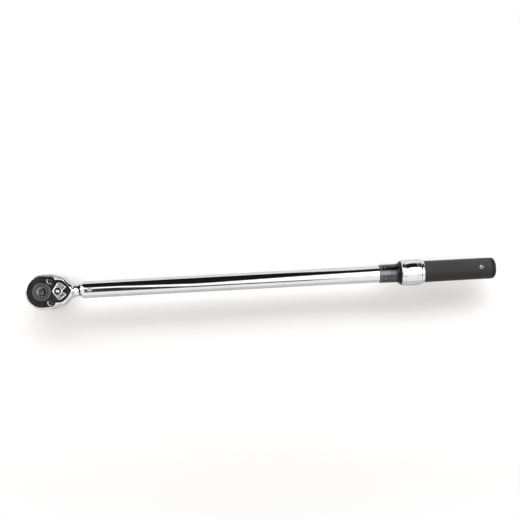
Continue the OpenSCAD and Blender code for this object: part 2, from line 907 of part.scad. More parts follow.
head_body();
cover_plate();
cover_screws();
selector_detent_ball();
selector_detent_spring();
drive_gear();
drive_o_ring();
button_clip();
release_button();
release_pin();
release_spring();
detent_ball();
selector_lever();
selector_shaft();
pawl_plunger();
pawl_spring();
pawl();
tube();
pivot_pin();
adjusting_nut();
tilt_block();
plunger();
main_spring();
spring_seat();
spacer_rod();
thrust_ball();
thimble();
handle_tube();
lock_balls();
lock_collar();
grip();
end_plug();
roll_pin();
adjusting_screw();
lock_nut();
end_cap();
lock_ring();
lock_spring();
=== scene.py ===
"""Looks of a click-type torque wrench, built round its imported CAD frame.

Shapes are drawn in millimetres in the CAD frame, and their meshes are made in metres. Lights, the camera and
places in shaders are in metres.
"""

import json
import math

import bmesh
import bpy
import numpy as np
from mathutils import Matrix, Vector


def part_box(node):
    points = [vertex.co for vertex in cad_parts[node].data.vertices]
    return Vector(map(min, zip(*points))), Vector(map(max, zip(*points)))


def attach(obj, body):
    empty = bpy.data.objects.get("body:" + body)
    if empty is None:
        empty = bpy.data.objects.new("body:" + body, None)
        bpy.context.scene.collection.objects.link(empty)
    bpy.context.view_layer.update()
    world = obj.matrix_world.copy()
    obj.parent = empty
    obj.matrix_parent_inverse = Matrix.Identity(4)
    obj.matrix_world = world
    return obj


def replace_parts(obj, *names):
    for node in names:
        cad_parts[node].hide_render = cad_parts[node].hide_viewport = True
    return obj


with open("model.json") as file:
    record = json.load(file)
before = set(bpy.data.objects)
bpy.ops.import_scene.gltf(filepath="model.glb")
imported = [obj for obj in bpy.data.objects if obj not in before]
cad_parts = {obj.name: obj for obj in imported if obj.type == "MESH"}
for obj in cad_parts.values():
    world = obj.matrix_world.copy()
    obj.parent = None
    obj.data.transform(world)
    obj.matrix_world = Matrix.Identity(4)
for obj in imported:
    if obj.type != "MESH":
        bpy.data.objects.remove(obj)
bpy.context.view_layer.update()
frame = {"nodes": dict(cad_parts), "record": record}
MM = 0.001


def low(node):
    """Lowest corner of a CAD node in millimetres."""
    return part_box(node)[0] / MM


def high(node):
    """Highest corner of a CAD node in millimetres."""
    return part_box(node)[1] / MM


def span(node, axis):
    """Lowest and highest place of a CAD node along x, y or z in millimetres."""
    return getattr(low(node), axis), getattr(high(node), axis)


def middle(node, axis):
    """Middle of a CAD node along x, y or z in millimetres."""
    return sum(span(node, axis)) / 2


# ---- places taken from the frame

AXIS_Z = middle("tube", "z")
HEAD_R = -low("head_body").x
HEAD_Z0, HEAD_Z1 = span("head_body", "z")
HEAD_HALF = (HEAD_Z1 - HEAD_Z0) / 2
PLATE_Z0, PLATE_Z1 = span("cover_plate", "z")
PLATE_R = -low("cover_plate").x
PLATE_TIP = high("cover_plate").x
GEAR_R = high("drive_gear").x
BOSS_Z1 = high("drive_gear").z
BUTTON_Z0, BUTTON_Z1 = span("release_button", "z")
SEL_X = middle("selector_shaft", "x")
SHAFT_Z0, SHAFT_Z1 = span("selector_shaft", "z")
LEVER_Z0, LEVER_Z1 = span("selector_lever", "z")
TUBE_X0, TUBE_X1 = span("tube", "x")
TUBE_R = high("tube").y
PIVOT_X = middle("pivot_pin", "x")
PIVOT_R = high("pivot_pin").y
THIMBLE_X0, THIMBLE_X1 = span("thimble", "x")
CONE_R = high("thimble").y
RING_X0, RING_X1 = span("lock_ring", "x")
RING_R = high("lock_ring").y
COLLAR_X0, COLLAR_X1 = span("lock_collar", "x")
COLLAR_R = high("lock_collar").y
GRIP_X0, GRIP_X1 = span("grip", "x")
GRIP_R = high("grip").y
CAP_X0, CAP_X1 = span("end_cap", "x")
GRIP_REAR_R = high("end_cap").y
SCREW_X = middle("cover_screws", "x")
SCREW_HEAD_R = (high("cover_screws").x - low("cover_screws").x) / 2
SCREW_Y = high("cover_screws").y - SCREW_HEAD_R
SCREW_Z1 = high("cover_screws").z

# ---- sizes that the frame's boxes don't give

SQUARE_AF = 12.7
GEAR_TEETH = 36
JOURNAL_R = 12
GROOVE_R = 10.4
SPRING_BORE_R = 4.3
PIN_BORE_R = 2.75
BALL_Z = 7.75
BALL_HOLE_R = 2.3
PAWL_ROOM_R = 7.2
BOSS_R = 12.3
RECESS_R = 6.9
BUTTON_R = 5.8
FLANGE_R = 6.5
SINK_R = 4.7
SINK_D = 1.2
KEY_HALF = 1.35
SHAFT_R = 4.0
DOME_R = 3.0
TUBE_WALL = 1.6
ARM_HALF_H = 6.2
THIMBLE_R = 12.3
HANDLE_TUBE_R = 13.62
RING_BORE_R = 13.66
GRIP_BORE_R = 12.92
CAP_PLUG_R = 12.88
PIN_LEAN = 8
THIMBLE_MARKS = 50
SCALE_MARKS = 22
SCALE_TOP = 200
MARKS_A_NUMBER = 5


# ---- mesh helpers

def new_object(name, verts, faces, body, sharp=35.0, normals=None):
    """Makes a mesh object from millimetre points and faces, and lets it ride on a body."""
    mesh = bpy.data.meshes.new(name)
    mesh.from_pydata((np.asarray(verts, float) * MM).tolist(), [], faces)
    mesh.validate()
    mesh.update()
    mesh.polygons.foreach_set("use_smooth", [True] * len(mesh.polygons))
    if normals is not None:
        mesh.normals_split_custom_set_from_vertices(normals.tolist())
    else:
        mesh.set_sharp_from_angle(angle=math.radians(sharp))
    obj = bpy.data.objects.new(name, mesh)
    bpy.context.scene.collection.objects.link(obj)
    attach(obj, body)
    return obj


def soften(points, steps, closed):
    """Rounds the corners of a polyline; a point's third number is how much of its sides a corner may take."""
    pts = [np.array(p[:2], float) for p in points]
    out = []
    for i, p in enumerate(pts):
        if not closed and i in (0, len(pts) - 1):
            out.append(p)
            continue
        a = pts[i - 1]
        b = pts[(i + 1) % len(pts)]
        la = np.linalg.norm(a - p)
        lb = np.linalg.norm(b - p)
        t = min(points[i][2], 0.47 * la, 0.47 * lb)
        if t < 1e-4:
            out.append(p)
            continue
        s = p + (a - p) / la * t
        e = p + (b - p) / lb * t
        for k in range(steps + 1):
            w = k / steps
            out.append((1 - w) ** 2 * s + 2 * w * (1 - w) * p + w * w * e)
    return out


def lathe_data(profile, segs, closed):
    """Points and faces of a body turned about local Z; profile points are (height, radius)."""
    n = len(profile)
    verts = []
    rings = []
    for h, r in profile:
        if r < 1e-6:
            rings.append([len(verts)] * segs)
            verts.append((0.0, 0.0, h))
            continue
        rings.append(list(range(len(verts), len(verts) + segs)))
        for k in range(segs):
            a = 2 * math.pi * k / segs
            verts.append((r * math.cos(a), r * math.sin(a), h))
    faces = []
    for i in range(n if closed else n - 1):
        a = rings[i]
        b = rings[(i + 1) % n]
        for k in range(segs):
            m = (k + 1) % segs
            quad = [a[k], a[m], b[m], b[k]]
            quad = [v for j, v in enumerate(quad) if v not in quad[:j]]
            if len(quad) > 2:
                faces.append(quad)
    return np.array(verts), faces


def turned(name, profile, body, segs=160, closed=True, steps=4):
    """Body turned about the wrench axis; profile points are (x, radius, corner)."""
    verts, faces = lathe_data(soften(profile, steps, closed), segs, closed)
    verts = np.stack([verts[:, 2], verts[:, 1], AXIS_Z - verts[:, 0]], axis=1)
    return new_object(name, verts, [f[::-1] for f in faces], body)


def spun(name, profile, at, body):
    """Body turned about an upright axis at (x, y); profile points are (z, radius, corner)."""
    verts, faces = lathe_data(soften(profile, 6, False), 128, False)
    return new_object(name, verts + np.array([*at, 0.0]), [f[::-1] for f in faces], body)


def outward(obj, weld=0.0):
    """Turns all faces of a closed mesh outward, after welding points closer than weld, in metres."""
    bm = bmesh.new()
    bm.from_mesh(obj.data)
    if weld:
        bmesh.ops.remove_doubles(bm, verts=bm.verts, dist=weld)
    bmesh.ops.recalc_face_normals(bm, faces=bm.faces)
    bm.to_mesh(obj.data)
    bm.free()
    return obj


def joined(name, parts, body):
    """One object from several closed shells, given as (points, faces) pairs."""
    verts = []
    faces = []
    for v, f in parts:
        start = len(verts)
        verts.extend(np.asarray(v, float).tolist())
        faces.extend([[start + i for i in face] for face in f])
    return outward(new_object(name, verts, faces, body))


# ---- distance-field modelling

def link(x, y, a, ra, b, rb):
    """Distance to two discs joined by their outer tangents."""
    dx, dy = b[0] - a[0], b[1] - a[1]
    span = math.hypot(dx, dy)
    ux, uy = dx / span, dy / span
    px, py = x - a[0], y - a[1]
    along = px * ux + py * uy
    across = np.abs(py * ux - px * uy)
    lean = (ra - rb) / span
    up = math.sqrt(1 - lean * lean)
    k = along * up - across * lean
    side = across * up + along * lean - ra
    first = np.hypot(across, along) - ra
    last = np.hypot(across, along - span) - rb
    return np.where(k < 0, first, np.where(k > up * span, last, side))


def blend_min(a, b, k):
    """Union of two fields with a fillet of about k."""
    h = np.clip(0.5 + 0.5 * (b - a) / k, 0, 1)
    return b + (a - b) * h - k * h * (1 - h)


def blend_max(a, b, k):
    """Intersection of two fields with a fillet of about k."""
    return -blend_min(-a, -b, k)


def rounded_slab(flat, dz, wide, tall):
    """Field of an outline between two levels, whose rim is an ellipse wide by tall."""
    a = flat / wide + 1
    b = dz / tall + 1
    inner = np.minimum(np.maximum(a, b), 0)
    return wide * (inner + np.hypot(np.maximum(a, 0), np.maximum(b, 0)) - 1)


def between(z, z0, z1):
    """Distance of a level from the slab between two levels."""
    return np.abs(z - (z0 + z1) / 2) - (z1 - z0) / 2


def ease(x, x0, x1):
    """Smooth step from 0 at x0 to 1 at x1."""
    t = np.clip((x - x0) / (x1 - x0), 0, 1)
    return t * t * (3 - 2 * t)


def nets(field, lo, hi, step):
    """Surface of a distance field on a cubic grid: points, quads and outward normals."""
    axes = [np.arange(lo[i], hi[i] + step, step) for i in range(3)]
    grid = np.meshgrid(*axes, indexing="ij")
    d = field(*grid)
    neg = d < 0
    cells = tuple(n - 1 for n in d.shape)
    corner = [(i, j, k) for i in (0, 1) for j in (0, 1) for k in (0, 1)]
    count = np.zeros(cells, int)
    for i, j, k in corner:
        count += neg[i:i + cells[0], j:j + cells[1], k:k + cells[2]]
    active = np.argwhere((count > 0) & (count < 8))
    number = -np.ones(cells, int)
    number[tuple(active.T)] = np.arange(len(active))
    total = np.zeros((len(active), 3))
    hits = np.zeros(len(active))
    for a in corner:
        for axis in range(3):
            if a[axis]:
                continue
            b = tuple(a[m] + (m == axis) for m in range(3))
            da = d[tuple((active + a).T)]
            db = d[tuple((active + b).T)]
            cross = (da < 0) != (db < 0)
            t = np.where(cross, da / np.where(cross, da - db, 1), 0)
            point = np.array(a, float) + t[:, None] * (np.array(b) - np.array(a))
            total += np.where(cross[:, None], point, 0)
            hits += cross
    verts = (active + total / hits[:, None]) * step + np.array([ax[0] for ax in axes])
    quads = []
    for axis in range(3):
        u, v = (axis + 1) % 3, (axis + 2) % 3
        size = list(d.shape)
        size[axis] -= 1
        before = np.take(neg, range(size[axis]), axis)
        after = np.take(neg, range(1, size[axis] + 1), axis)
        here = np.argwhere(before != after)
        here = here[(here[:, u] > 0) & (here[:, v] > 0)]
        here = here[(here[:, u] < cells[u]) & (here[:, v] < cells[v])]
        ids = []
        for du, dv in ((1, 1), (0, 1), (0, 0), (1, 0)):
            c = here.copy()
            c[:, u] -= du
            c[:, v] -= dv
            ids.append(number[tuple(c.T)])
        quad = np.stack(ids, axis=1)
        flip = ~neg[tuple(here.T)]
        quad[flip] = quad[flip][:, ::-1]
        quads.append(quad)
    e = step * 0.35
    slope = np.zeros_like(verts)
    for m in range(3):
        shift = np.zeros(3)
        shift[m] = e
        slope[:, m] = field(*(verts + shift).T) - field(*(verts - shift).T)
    slope /= np.maximum(np.linalg.norm(slope, axis=1), 1e-9)[:, None]
    return verts, np.concatenate(quads), slope


def sculpted(name, field, lo, hi, step, body):
    """Object made from a distance field."""
    verts, quads, slope = nets(field, lo, hi, step)
    return new_object(name, verts, quads.tolist(), body, normals=slope)


# ---- outlines

def head_outline(x, y):
    """Outline of the forged head."""
    side = np.abs(y)
    d = np.hypot(x, y) - HEAD_R
    shoulder = (11.0, 13.0)
    waist = (24.0, 7.0)
    d = np.minimum(d, link(x, side, (0, 0), HEAD_R, shoulder, 10.2))
    d = blend_min(d, link(x, side, shoulder, 10.2, waist, 11.6), 0.5)
    return blend_min(d, link(x, side, waist, 11.6, (35.5, 0.0), 9.6), 2.0)


def plate_outline(x, y):
    """Outline of the cover plate."""
    side = np.abs(y)
    d = link(x, side, (0, 0), PLATE_R + 0.3, (SCREW_X, SCREW_Y), 5.4)
    belt = np.maximum(np.abs(x - SEL_X / 2) - SEL_X / 2, side - 13)
    d = np.minimum(d, belt)
    return blend_min(d, link(x, y, (SEL_X - 0.8, 0), 14.8, (PLATE_TIP - 2.0, 0), 2.0), 0.8)


# ---- head

def head_field(x, y, z):
    """Forged head with its seat, cavities and neck."""
    h = z - AXIS_Z
    top = HEAD_HALF - 8.0 * ease(x, PLATE_TIP + 0.2, PLATE_TIP + 6)
    bottom = HEAD_HALF - 7.0 * ease(x, 14, 44)
    toward_neck = ease(x, 24, 37)
    rim_w = 2.5 + 5.0 * toward_neck
    rim_h = 4.2 + 4.0 * toward_neck
    d = rounded_slab(head_outline(x, y), np.maximum(h - top, -h - bottom), rim_w, rim_h)
    neck_r = 7.8 + 3.0 * (1 - ease(x, 33, 48.5))
    neck = np.maximum(np.hypot(y, h) - neck_r, np.maximum(30 - x, x - 57.8))
    d = blend_min(d, neck, 2.5)
    far = np.hypot(x, y)
    seat = np.maximum(plate_outline(x, y) - 0.2, PLATE_Z0 - z)
    cavity = np.maximum(far - GEAR_R - 0.4, HEAD_Z0 + 4 - z)
    room = np.maximum(np.hypot(x - SEL_X, y) - PAWL_ROOM_R, HEAD_Z0 + 4 - z)
    for cut, k in ((seat, 0.3), (cavity, 0.1), (room, 0.1), (far - JOURNAL_R - 0.1, 0.5)):
        d = blend_max(d, -cut, k)
    return d


def build_head():
    """Forged head and the arm that reaches into the tube."""
    pad = 1.0
    verts, quads, slope = nets(
        head_field,
        (-HEAD_R - pad, -HEAD_R - 2, HEAD_Z0 - pad),
        (58.4, HEAD_R + 2, HEAD_Z1 + pad),
        0.42,
    )
    stations = ((56.8, 6.4), (75.0, 6.4), (90.0, 4.6), (high("head_body").x, 4.6))
    corners = ((-1, -1), (1, -1), (1, 1), (-1, 1))
    arm = np.array([(x, s * w, AXIS_Z + t * ARM_HALF_H) for x, w in stations for s, t in corners])
    arm_faces = [[0, 3, 2, 1], [12, 13, 14, 15]]
    for i in range(3):
        for k in range(4):
            a, b = 4 * i + k, 4 * i + (k + 1) % 4
            arm_faces.append([a, b, b + 4, a + 4])
    centre = np.array([arm[:, 0].mean(), 0, AXIS_Z])
    spread = arm - centre
    spread /= np.linalg.norm(spread, axis=1)[:, None]
    start = len(verts)
    faces = quads.tolist() + [[start + i for i in f] for f in arm_faces]
    points = np.vstack([verts, arm])
    obj = new_object("head_forging", points, faces, "head", normals=np.vstack([slope, spread]))
    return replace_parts(obj, "head_body")


def build_plate():
    """Black cover plate with sunk screw seats."""
    def field(x, y, z):
        d = rounded_slab(plate_outline(x, y), between(z, PLATE_Z0, PLATE_Z1), 0.55, 0.45)
        side = np.abs(y)
        hole = np.minimum(np.hypot(x, y) - BOSS_R - 0.12, np.hypot(x - SEL_X, y) - SHAFT_R - 0.1)
        at_screw = np.hypot(x - SCREW_X, side - SCREW_Y)
        sink = np.maximum(at_screw - SINK_R, PLATE_Z1 - SINK_D - z)
        d = blend_max(d, -hole, 0.35)
        d = blend_max(d, -sink, 0.4)
        return np.maximum(d, 1.7 - at_screw)

    obj = sculpted(
        "ratchet_plate",
        field,
        (-PLATE_R - 0.7, -PLATE_R - 1.2, PLATE_Z0 - 0.6),
        (PLATE_TIP + 0.7, PLATE_R + 1.2, PLATE_Z1 + 0.6),
        0.24,
        "head",
    )
    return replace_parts(obj, "cover_plate")


def build_screws():
    """Two socket screws in the plate's sinks."""
    seat = PLATE_Z1 - SINK_D
    parts = []
    for s in (-1, 1):
        def field(x, y, z):
            px, py = x - SCREW_X, y - s * SCREW_Y
            far = np.hypot(px, py)
            head = rounded_slab(far - SCREW_HEAD_R, between(z, seat, SCREW_Z1), 0.5, 0.5)
            shank = np.maximum(far - 1.5, np.maximum(seat - 8 - z, z - seat - 0.5))
            d = np.minimum(head, shank)
            slanted = np.maximum(np.abs(px * 0.5 + py * 0.866), np.abs(px * 0.5 - py * 0.866))
            hexagon = np.maximum(np.abs(px), slanted)
            return blend_max(d, -np.maximum(hexagon - KEY_HALF, seat + 0.45 - z), 0.2)

        parts.append(nets(
            field,
            (SCREW_X - 4, s * SCREW_Y - 4, seat - 8.5),
            (SCREW_X + 4, s * SCREW_Y + 4, SCREW_Z1 + 0.5),
            0.2,
        ))
    verts = np.vstack([p[0] for p in parts])
    faces = parts[0][1].tolist() + (parts[1][1] + len(parts[0][0])).tolist()
    slope = np.vstack([p[2] for p in parts])
    obj = new_object("plate_screws", verts, faces, "head", normals=slope)
    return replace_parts(obj, "cover_screws")


# ---- drive

def drive_field(x, y, z):
    """Drive square, journal, ratchet wheel and boss with the button's recess."""
    far = np.hypot(x, y)
    half = SQUARE_AF / 2
    shoulder = HEAD_Z0 - 1
    square = np.maximum(np.abs(x) - half, np.abs(y) - half)
    square = blend_max(square, far - SQUARE_AF * 0.675, 0.5)
    square = rounded_slab(square, between(z, 0, HEAD_Z0), 1.0, 1.4)
    d = blend_min(square, np.maximum(far - 11, np.abs(z - shoulder - 1) - 1), 0.5)
    d = np.minimum(d, np.maximum(far - JOURNAL_R, np.abs(z - HEAD_Z0 - 2.1) - 2.1))
    wheel_lo = HEAD_Z0 + 4.2
    wheel_hi = PLATE_Z0 - 0.8
    tooth = 0.6 * np.cos(np.arctan2(y, x) * GEAR_TEETH)
    wheel = np.maximum(far - (GEAR_R - 0.6) - tooth, between(z, wheel_lo, wheel_hi))
    d = np.minimum(d, wheel)
    mid = (wheel_hi + BOSS_Z1) / 2 - 1
    boss = rounded_slab(far - BOSS_R, np.abs(z - mid) - (BOSS_Z1 - mid), 0.9, 0.7)
    d = np.minimum(d, boss)
    groove = np.maximum(np.abs(z - HEAD_Z0 - 1.95) - 0.85, GROOVE_R - far)
    d = np.maximum(d, -groove)
    recess = np.maximum(far - RECESS_R, BOSS_Z1 - 5.7 - z)
    pocket = np.maximum(far - SPRING_BORE_R, 30 - z)
    bore = np.maximum(far - PIN_BORE_R, 2.2 - z)
    d = blend_max(d, -recess, 0.4)
    d = np.maximum(d, -np.minimum(pocket, bore))
    ball_hole = np.maximum(np.hypot(y, z - BALL_Z) - BALL_HOLE_R, x)
    return blend_max(d, -ball_hole, 0.2)


def build_drive():
    """Drive square, ratchet wheel and boss in one piece, and the button."""
    reach = GEAR_R + 0.8
    corner = (reach, reach, BOSS_Z1 + 0.8)
    drive = sculpted("drive_core", drive_field, (-reach, -reach, -0.8), corner, 0.36, "drive")
    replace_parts(drive, "drive_gear")
    rim_r = BUTTON_R - 1.2
    dish = [(BUTTON_Z1 - 0.72 * (1 - t * t), rim_r * t, 0.1 if t == 1 else 0) for t in np.linspace(1, 0, 9)]
    profile = [
        (BUTTON_Z0, 0, 0),
        (BUTTON_Z0, FLANGE_R, 0.2),
        (BUTTON_Z0 + 1.2, FLANGE_R, 0.2),
        (BUTTON_Z0 + 1.25, BUTTON_R, 0.15),
        (BUTTON_Z1 - 0.7, BUTTON_R, 0.3),
        (BUTTON_Z1, BUTTON_R - 0.7, 0.25),
        *dish,
    ]
    button = spun("quick_release_button", profile, (0, 0), "button")
    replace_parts(outward(button), "release_button")
    return drive, button


# ---- selector

def lever_outline(px, py):
    """Butterfly outline of the selector, about its own axis."""
    side = np.abs(py)
    hub, lobe, horn = (0.0, 0.0), (2.2, 8.0), (9.3, 5.0)
    d = link(px, py, hub, 6.2, (-5.6, 0.0), 1.7)
    d = blend_min(d, link(px, side, lobe, 3.7, hub, 6.0), 1.0)
    d = np.minimum(d, link(px, side, lobe, 3.7, horn, 1.7))
    return blend_min(d, link(px, side, horn, 1.7, (3.0, 1.5), 3.0), 0.6)


def lever_field(x, y, z):
    """Selector lever: raised rims round sunk wings and a round cup."""
    px, py = x - SEL_X, y
    far = np.hypot(px, py)
    flat = lever_outline(px, py)
    d = rounded_slab(flat, between(z, LEVER_Z0, LEVER_Z1), 0.9, 0.9)
    cup_r = 4.85
    wall = cup_r + 0.75
    floor = LEVER_Z1 - 0.8 - 0.16 * np.clip(-flat - 1.0, 0, 4)
    wing = np.maximum(np.maximum(flat + 1.05, wall - far), floor - z)
    d = blend_max(d, -wing, 0.35)
    cup = np.maximum(far - cup_r, LEVER_Z1 - 1.6 - z)
    d = blend_max(d, -cup, 0.35)
    return np.maximum(d, 3.02 - far)


def build_selector():
    """Selector lever and the domed shaft in its middle."""
    lever = sculpted(
        "selector_butterfly",
        lever_field,
        (SEL_X - 8.2, -12.6, LEVER_Z0 - 0.5),
        (SEL_X + 12, 12.6, LEVER_Z1 + 0.5),
        0.2,
        "selector",
    )
    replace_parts(lever, "selector_lever")
    foot_r = 2.6
    step_z = 33.6
    shoulder_z = LEVER_Z0 - 0.05
    profile = [
        (SHAFT_Z0, 0, 0),
        (SHAFT_Z0, foot_r, 0.3),
        (step_z, foot_r, 0.1),
        (step_z, SHAFT_R, 0.2),
        (shoulder_z, SHAFT_R, 0.1),
        (shoulder_z, DOME_R, 0.1),
        (SHAFT_Z1 - 1.3, DOME_R, 0.9),
        (SHAFT_Z1 - 0.25, 1.9, 1.0),
        (SHAFT_Z1, 0.7, 0.5),
        (SHAFT_Z1, 0, 0),
    ]
    shaft = spun("selector_post", profile, (SEL_X, 0), "selector")
    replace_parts(outward(shaft), "selector_shaft")
    return lever, shaft


# ---- tube

def build_tube():
    """Chromed tube with a rounded nose and the holes of the pivot pin."""
    bore_r = TUBE_R - TUBE_WALL
    hole_r = 8.5
    profile = [
        (TUBE_X0, hole_r + 0.1, 0.3),
        (TUBE_X0, 8.9, 0.6),
        (TUBE_X0 + 0.9, 9.9, 1.4),
        (TUBE_X0 + 3.4, TUBE_R, 3.0),
        (PIVOT_X - 6, TUBE_R, 0),
        (PIVOT_X + 6, TUBE_R, 0),
        (PIVOT_X + 40, TUBE_R, 0),
        (TUBE_X1, TUBE_R, 0.4),
        (TUBE_X1, bore_r, 0.3),
        (PIVOT_X + 6, bore_r, 0),
        (PIVOT_X - 6, bore_r, 0),
        (TUBE_X0 + 6.5, bore_r, 0.5),
        (TUBE_X0 + 5, hole_r, 0.5),
    ]
    tube = outward(turned("wrench_tube", profile, "tube_body", segs=192, steps=8))
    reach = 1.5 * TUBE_R
    drill_r = PIVOT_R + 0.12
    verts, faces = lathe_data([(-reach, 0), (-reach, drill_r), (reach, drill_r), (reach, 0)], 64, False)
    verts = verts + np.array([PIVOT_X, 0, AXIS_Z])
    drill_mesh = bpy.data.meshes.new("drill")
    drill_mesh.from_pydata((verts * MM).tolist(), [], faces)
    drill = bpy.data.objects.new("drill", drill_mesh)
    bpy.context.scene.collection.objects.link(drill)
    outward(drill)
    cut = tube.modifiers.new("pivot holes", "BOOLEAN")
    cut.operation = "DIFFERENCE"
    cut.solver = "EXACT"
    cut.object = drill
    bpy.context.view_layer.update()
    graph = bpy.context.evaluated_depsgraph_get()
    mesh = bpy.data.meshes.new_from_object(tube.evaluated_get(graph))
    tube.modifiers.clear()
    bpy.data.objects.remove(drill)
    tube.data = mesh
    mesh.polygons.foreach_set("use_smooth", [True] * len(mesh.polygons))
    loops = []
    near = 0.06
    for poly in mesh.polygons:
        c = poly.center / MM
        off = math.hypot(c.y, c.z - AXIS_Z)
        skin = abs(off - TUBE_R) < near and c.x > TUBE_X0 + 6
        bore = abs(off - TUBE_R + TUBE_WALL) < near and c.x > TUBE_X0 + 7
        for i in poly.loop_indices:
            vertex = mesh.vertices[mesh.loops[i].vertex_index]
            v = vertex.co / MM
            if skin or bore:
                n = Vector((0, v.y, v.z - AXIS_Z)).normalized()
                loops.append(n if skin else -n)
            elif c.x > TUBE_X0 + 6:
                loops.append(poly.normal.copy())
            else:
                loops.append(vertex.normal.copy())
    mesh.normals_split_custom_set(loops)
    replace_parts(tube, "tube")
    return tube


def build_pivot_pin():
    """Pivot pin, ground to the tube's own curve at both ends."""
    segs, rings = 64, 10
    verts = []
    for sign in (1, -1):
        for i in range(rings + 1):
            r = PIVOT_R * min(1.0, i / (rings - 1)) if i < rings else PIVOT_R
            for k in range(segs):
                a = 2 * math.pi * k / segs
                x, y = r * math.cos(a), r * math.sin(a)
                drop = 0.0 if i < rings - 1 else 0.06
                z = math.sqrt(TUBE_R ** 2 - y * y) - drop - (0.5 if i == rings else 0)
                verts.append((PIVOT_X + x, y, AXIS_Z + sign * z))
    faces = []
    per = (rings + 1) * segs
    for side in (0, 1):
        for i in range(rings):
            for k in range(segs):
                a = side * per + i * segs + k
                b = side * per + i * segs + (k + 1) % segs
                quad = [a, b, b + segs, a + segs]
                faces.append(quad if side == 0 else quad[::-1])
    for k in range(segs):
        a, b = rings * segs + k, rings * segs + (k + 1) % segs
        faces.append([a, b, b + per, a + per])
    pin = new_object("head_pivot", verts, faces, "tube_body", sharp=50)
    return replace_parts(outward(pin, weld=1e-7), "pivot_pin")


# ---- marks

STROKES = {
    "0": [[(0, 0), (1, 0), (1, 2), (0, 2), (0, 0)]],
    "1": [[(0.2, 1.6), (0.6, 2), (0.6, 0)]],
    "2": [[(0, 2), (1, 2), (1, 1), (0, 1), (0, 0), (1, 0)]],
    "3": [[(0, 2), (1, 2), (1, 0), (0, 0)], [(0.2, 1), (1, 1)]],
    "4": [[(0, 2), (0, 1), (1, 1)], [(1, 2), (1, 0)]],
    "5": [[(1, 2), (0, 2), (0, 1), (1, 1), (1, 0), (0, 0)]],
    "6": [[(1, 2), (0, 2), (0, 0), (1, 0), (1, 1), (0, 1)]],
    "7": [[(0, 2), (1, 2), (0.4, 0)]],
    "8": [[(0, 0), (1, 0), (1, 2), (0, 2), (0, 0)], [(0, 1), (1, 1)]],
    "9": [[(0, 0), (1, 0), (1, 2), (0, 2), (0, 1), (1, 1)]],
}


def bar_on_tube(x0, s0, x1, s1, width, radius, proud):
    """Closed thin bar on a cylinder, from (x0, s0) to (x1, s1); s is arc length from the top."""
    along = np.array([x1 - x0, s1 - s0], float)
    along /= max(np.linalg.norm(along), 1e-9)
    side = np.array([-along[1], along[0]]) * width / 2
    ends = [np.array([x0, s0]) - along * width / 2, np.array([x1, s1]) + along * width / 2]
    cuts = max(1, int(abs(s1 - s0) / 0.5))
    root, crest = radius - 0.1, radius + proud
    verts = []
    for i in range(cuts + 1):
        p = ends[0] + (ends[1] - ends[0]) * i / cuts
        for q, r in ((p - side, root), (p + side, root), (p + side, crest), (p - side, crest)):
            a = q[1] / radius
            verts.append((q[0], r * math.sin(a), AXIS_Z + r * math.cos(a)))
    faces = [[0, 1, 2, 3], [4 * cuts + 3, 4 * cuts + 2, 4 * cuts + 1, 4 * cuts]]
    for i in range(cuts):
        for k in range(4):
            a, b = 4 * i + k, 4 * i + (k + 1) % 4
            faces.append([a, a + 4, b + 4, b])
    return np.array(verts), faces


def number_on_tube(text, x, s, height, radius, width, proud):
    """Strokes of a number whose digits stand along the circumference."""
    parts = []
    unit = height / 2
    pitch = unit * 1.55
    start = s - (len(text) * pitch - 0.55 * unit) / 2
    for i, digit in enumerate(text):
        for line in STROKES[digit]:
            for (u0, v0), (u1, v1) in zip(line, line[1:]):
                x0, x1 = (x - v * unit for v in (v0, v1))
                s0, s1 = (start + (i * pitch + u * unit) for u in (u0, u1))
                parts.append(bar_on_tube(x0, s0, x1, s1, width, radius, proud))
    return parts


def build_marks():
    """Pale ring of numbered marks on the thimble and a dark main scale on the tube's far side."""
    proud = 0.012
    parts = []
    for i in range(THIMBLE_MARKS):
        s = 2 * math.pi * THIMBLE_R * i / THIMBLE_MARKS
        numbered = i % MARKS_A_NUMBER == 0
        length = 3.2 if numbered else 1.8
        start = THIMBLE_X0 + 1.5
        parts.append(bar_on_tube(start, s, start + length, s, 0.17, THIMBLE_R, proud))
        if numbered:
            text = str(i // MARKS_A_NUMBER)
            parts += number_on_tube(text, THIMBLE_X0 + 8.9, s, 2.6, THIMBLE_R, 0.26, proud)
    marks = joined("thimble_marks", parts, "handle")
    proud = 0.01
    parts = []
    turn = math.pi * TUBE_R
    first = THIMBLE_X0 - 42
    for i in range(SCALE_MARKS):
        x = first + 2 * i
        numbered = i % MARKS_A_NUMBER == 1
        half = 5.2 if numbered else 3.2
        parts.append(bar_on_tube(x, turn - half, x, turn + 0.9, 0.24, TUBE_R, proud))
        if numbered:
            parts += number_on_tube(str(SCALE_TOP - 8 * i), x + 1.3, turn + 4.6, 2.4, TUBE_R, 0.32, proud)
    parts.append(bar_on_tube(first - 1, turn, THIMBLE_X0 - 1, turn, 0.22, TUBE_R, proud))
    scale = joined("main_scale", parts, "tube_body")
    return marks, scale


# ---- handle

def ring_groove(x, w, d, s, r):
    """Corner points of a groove round a turned body."""
    return [(x - s, r, 0.15), (x, r - d, 0.2), (x + w, r - d, 0.2), (x + w + s, r, 0.15)]


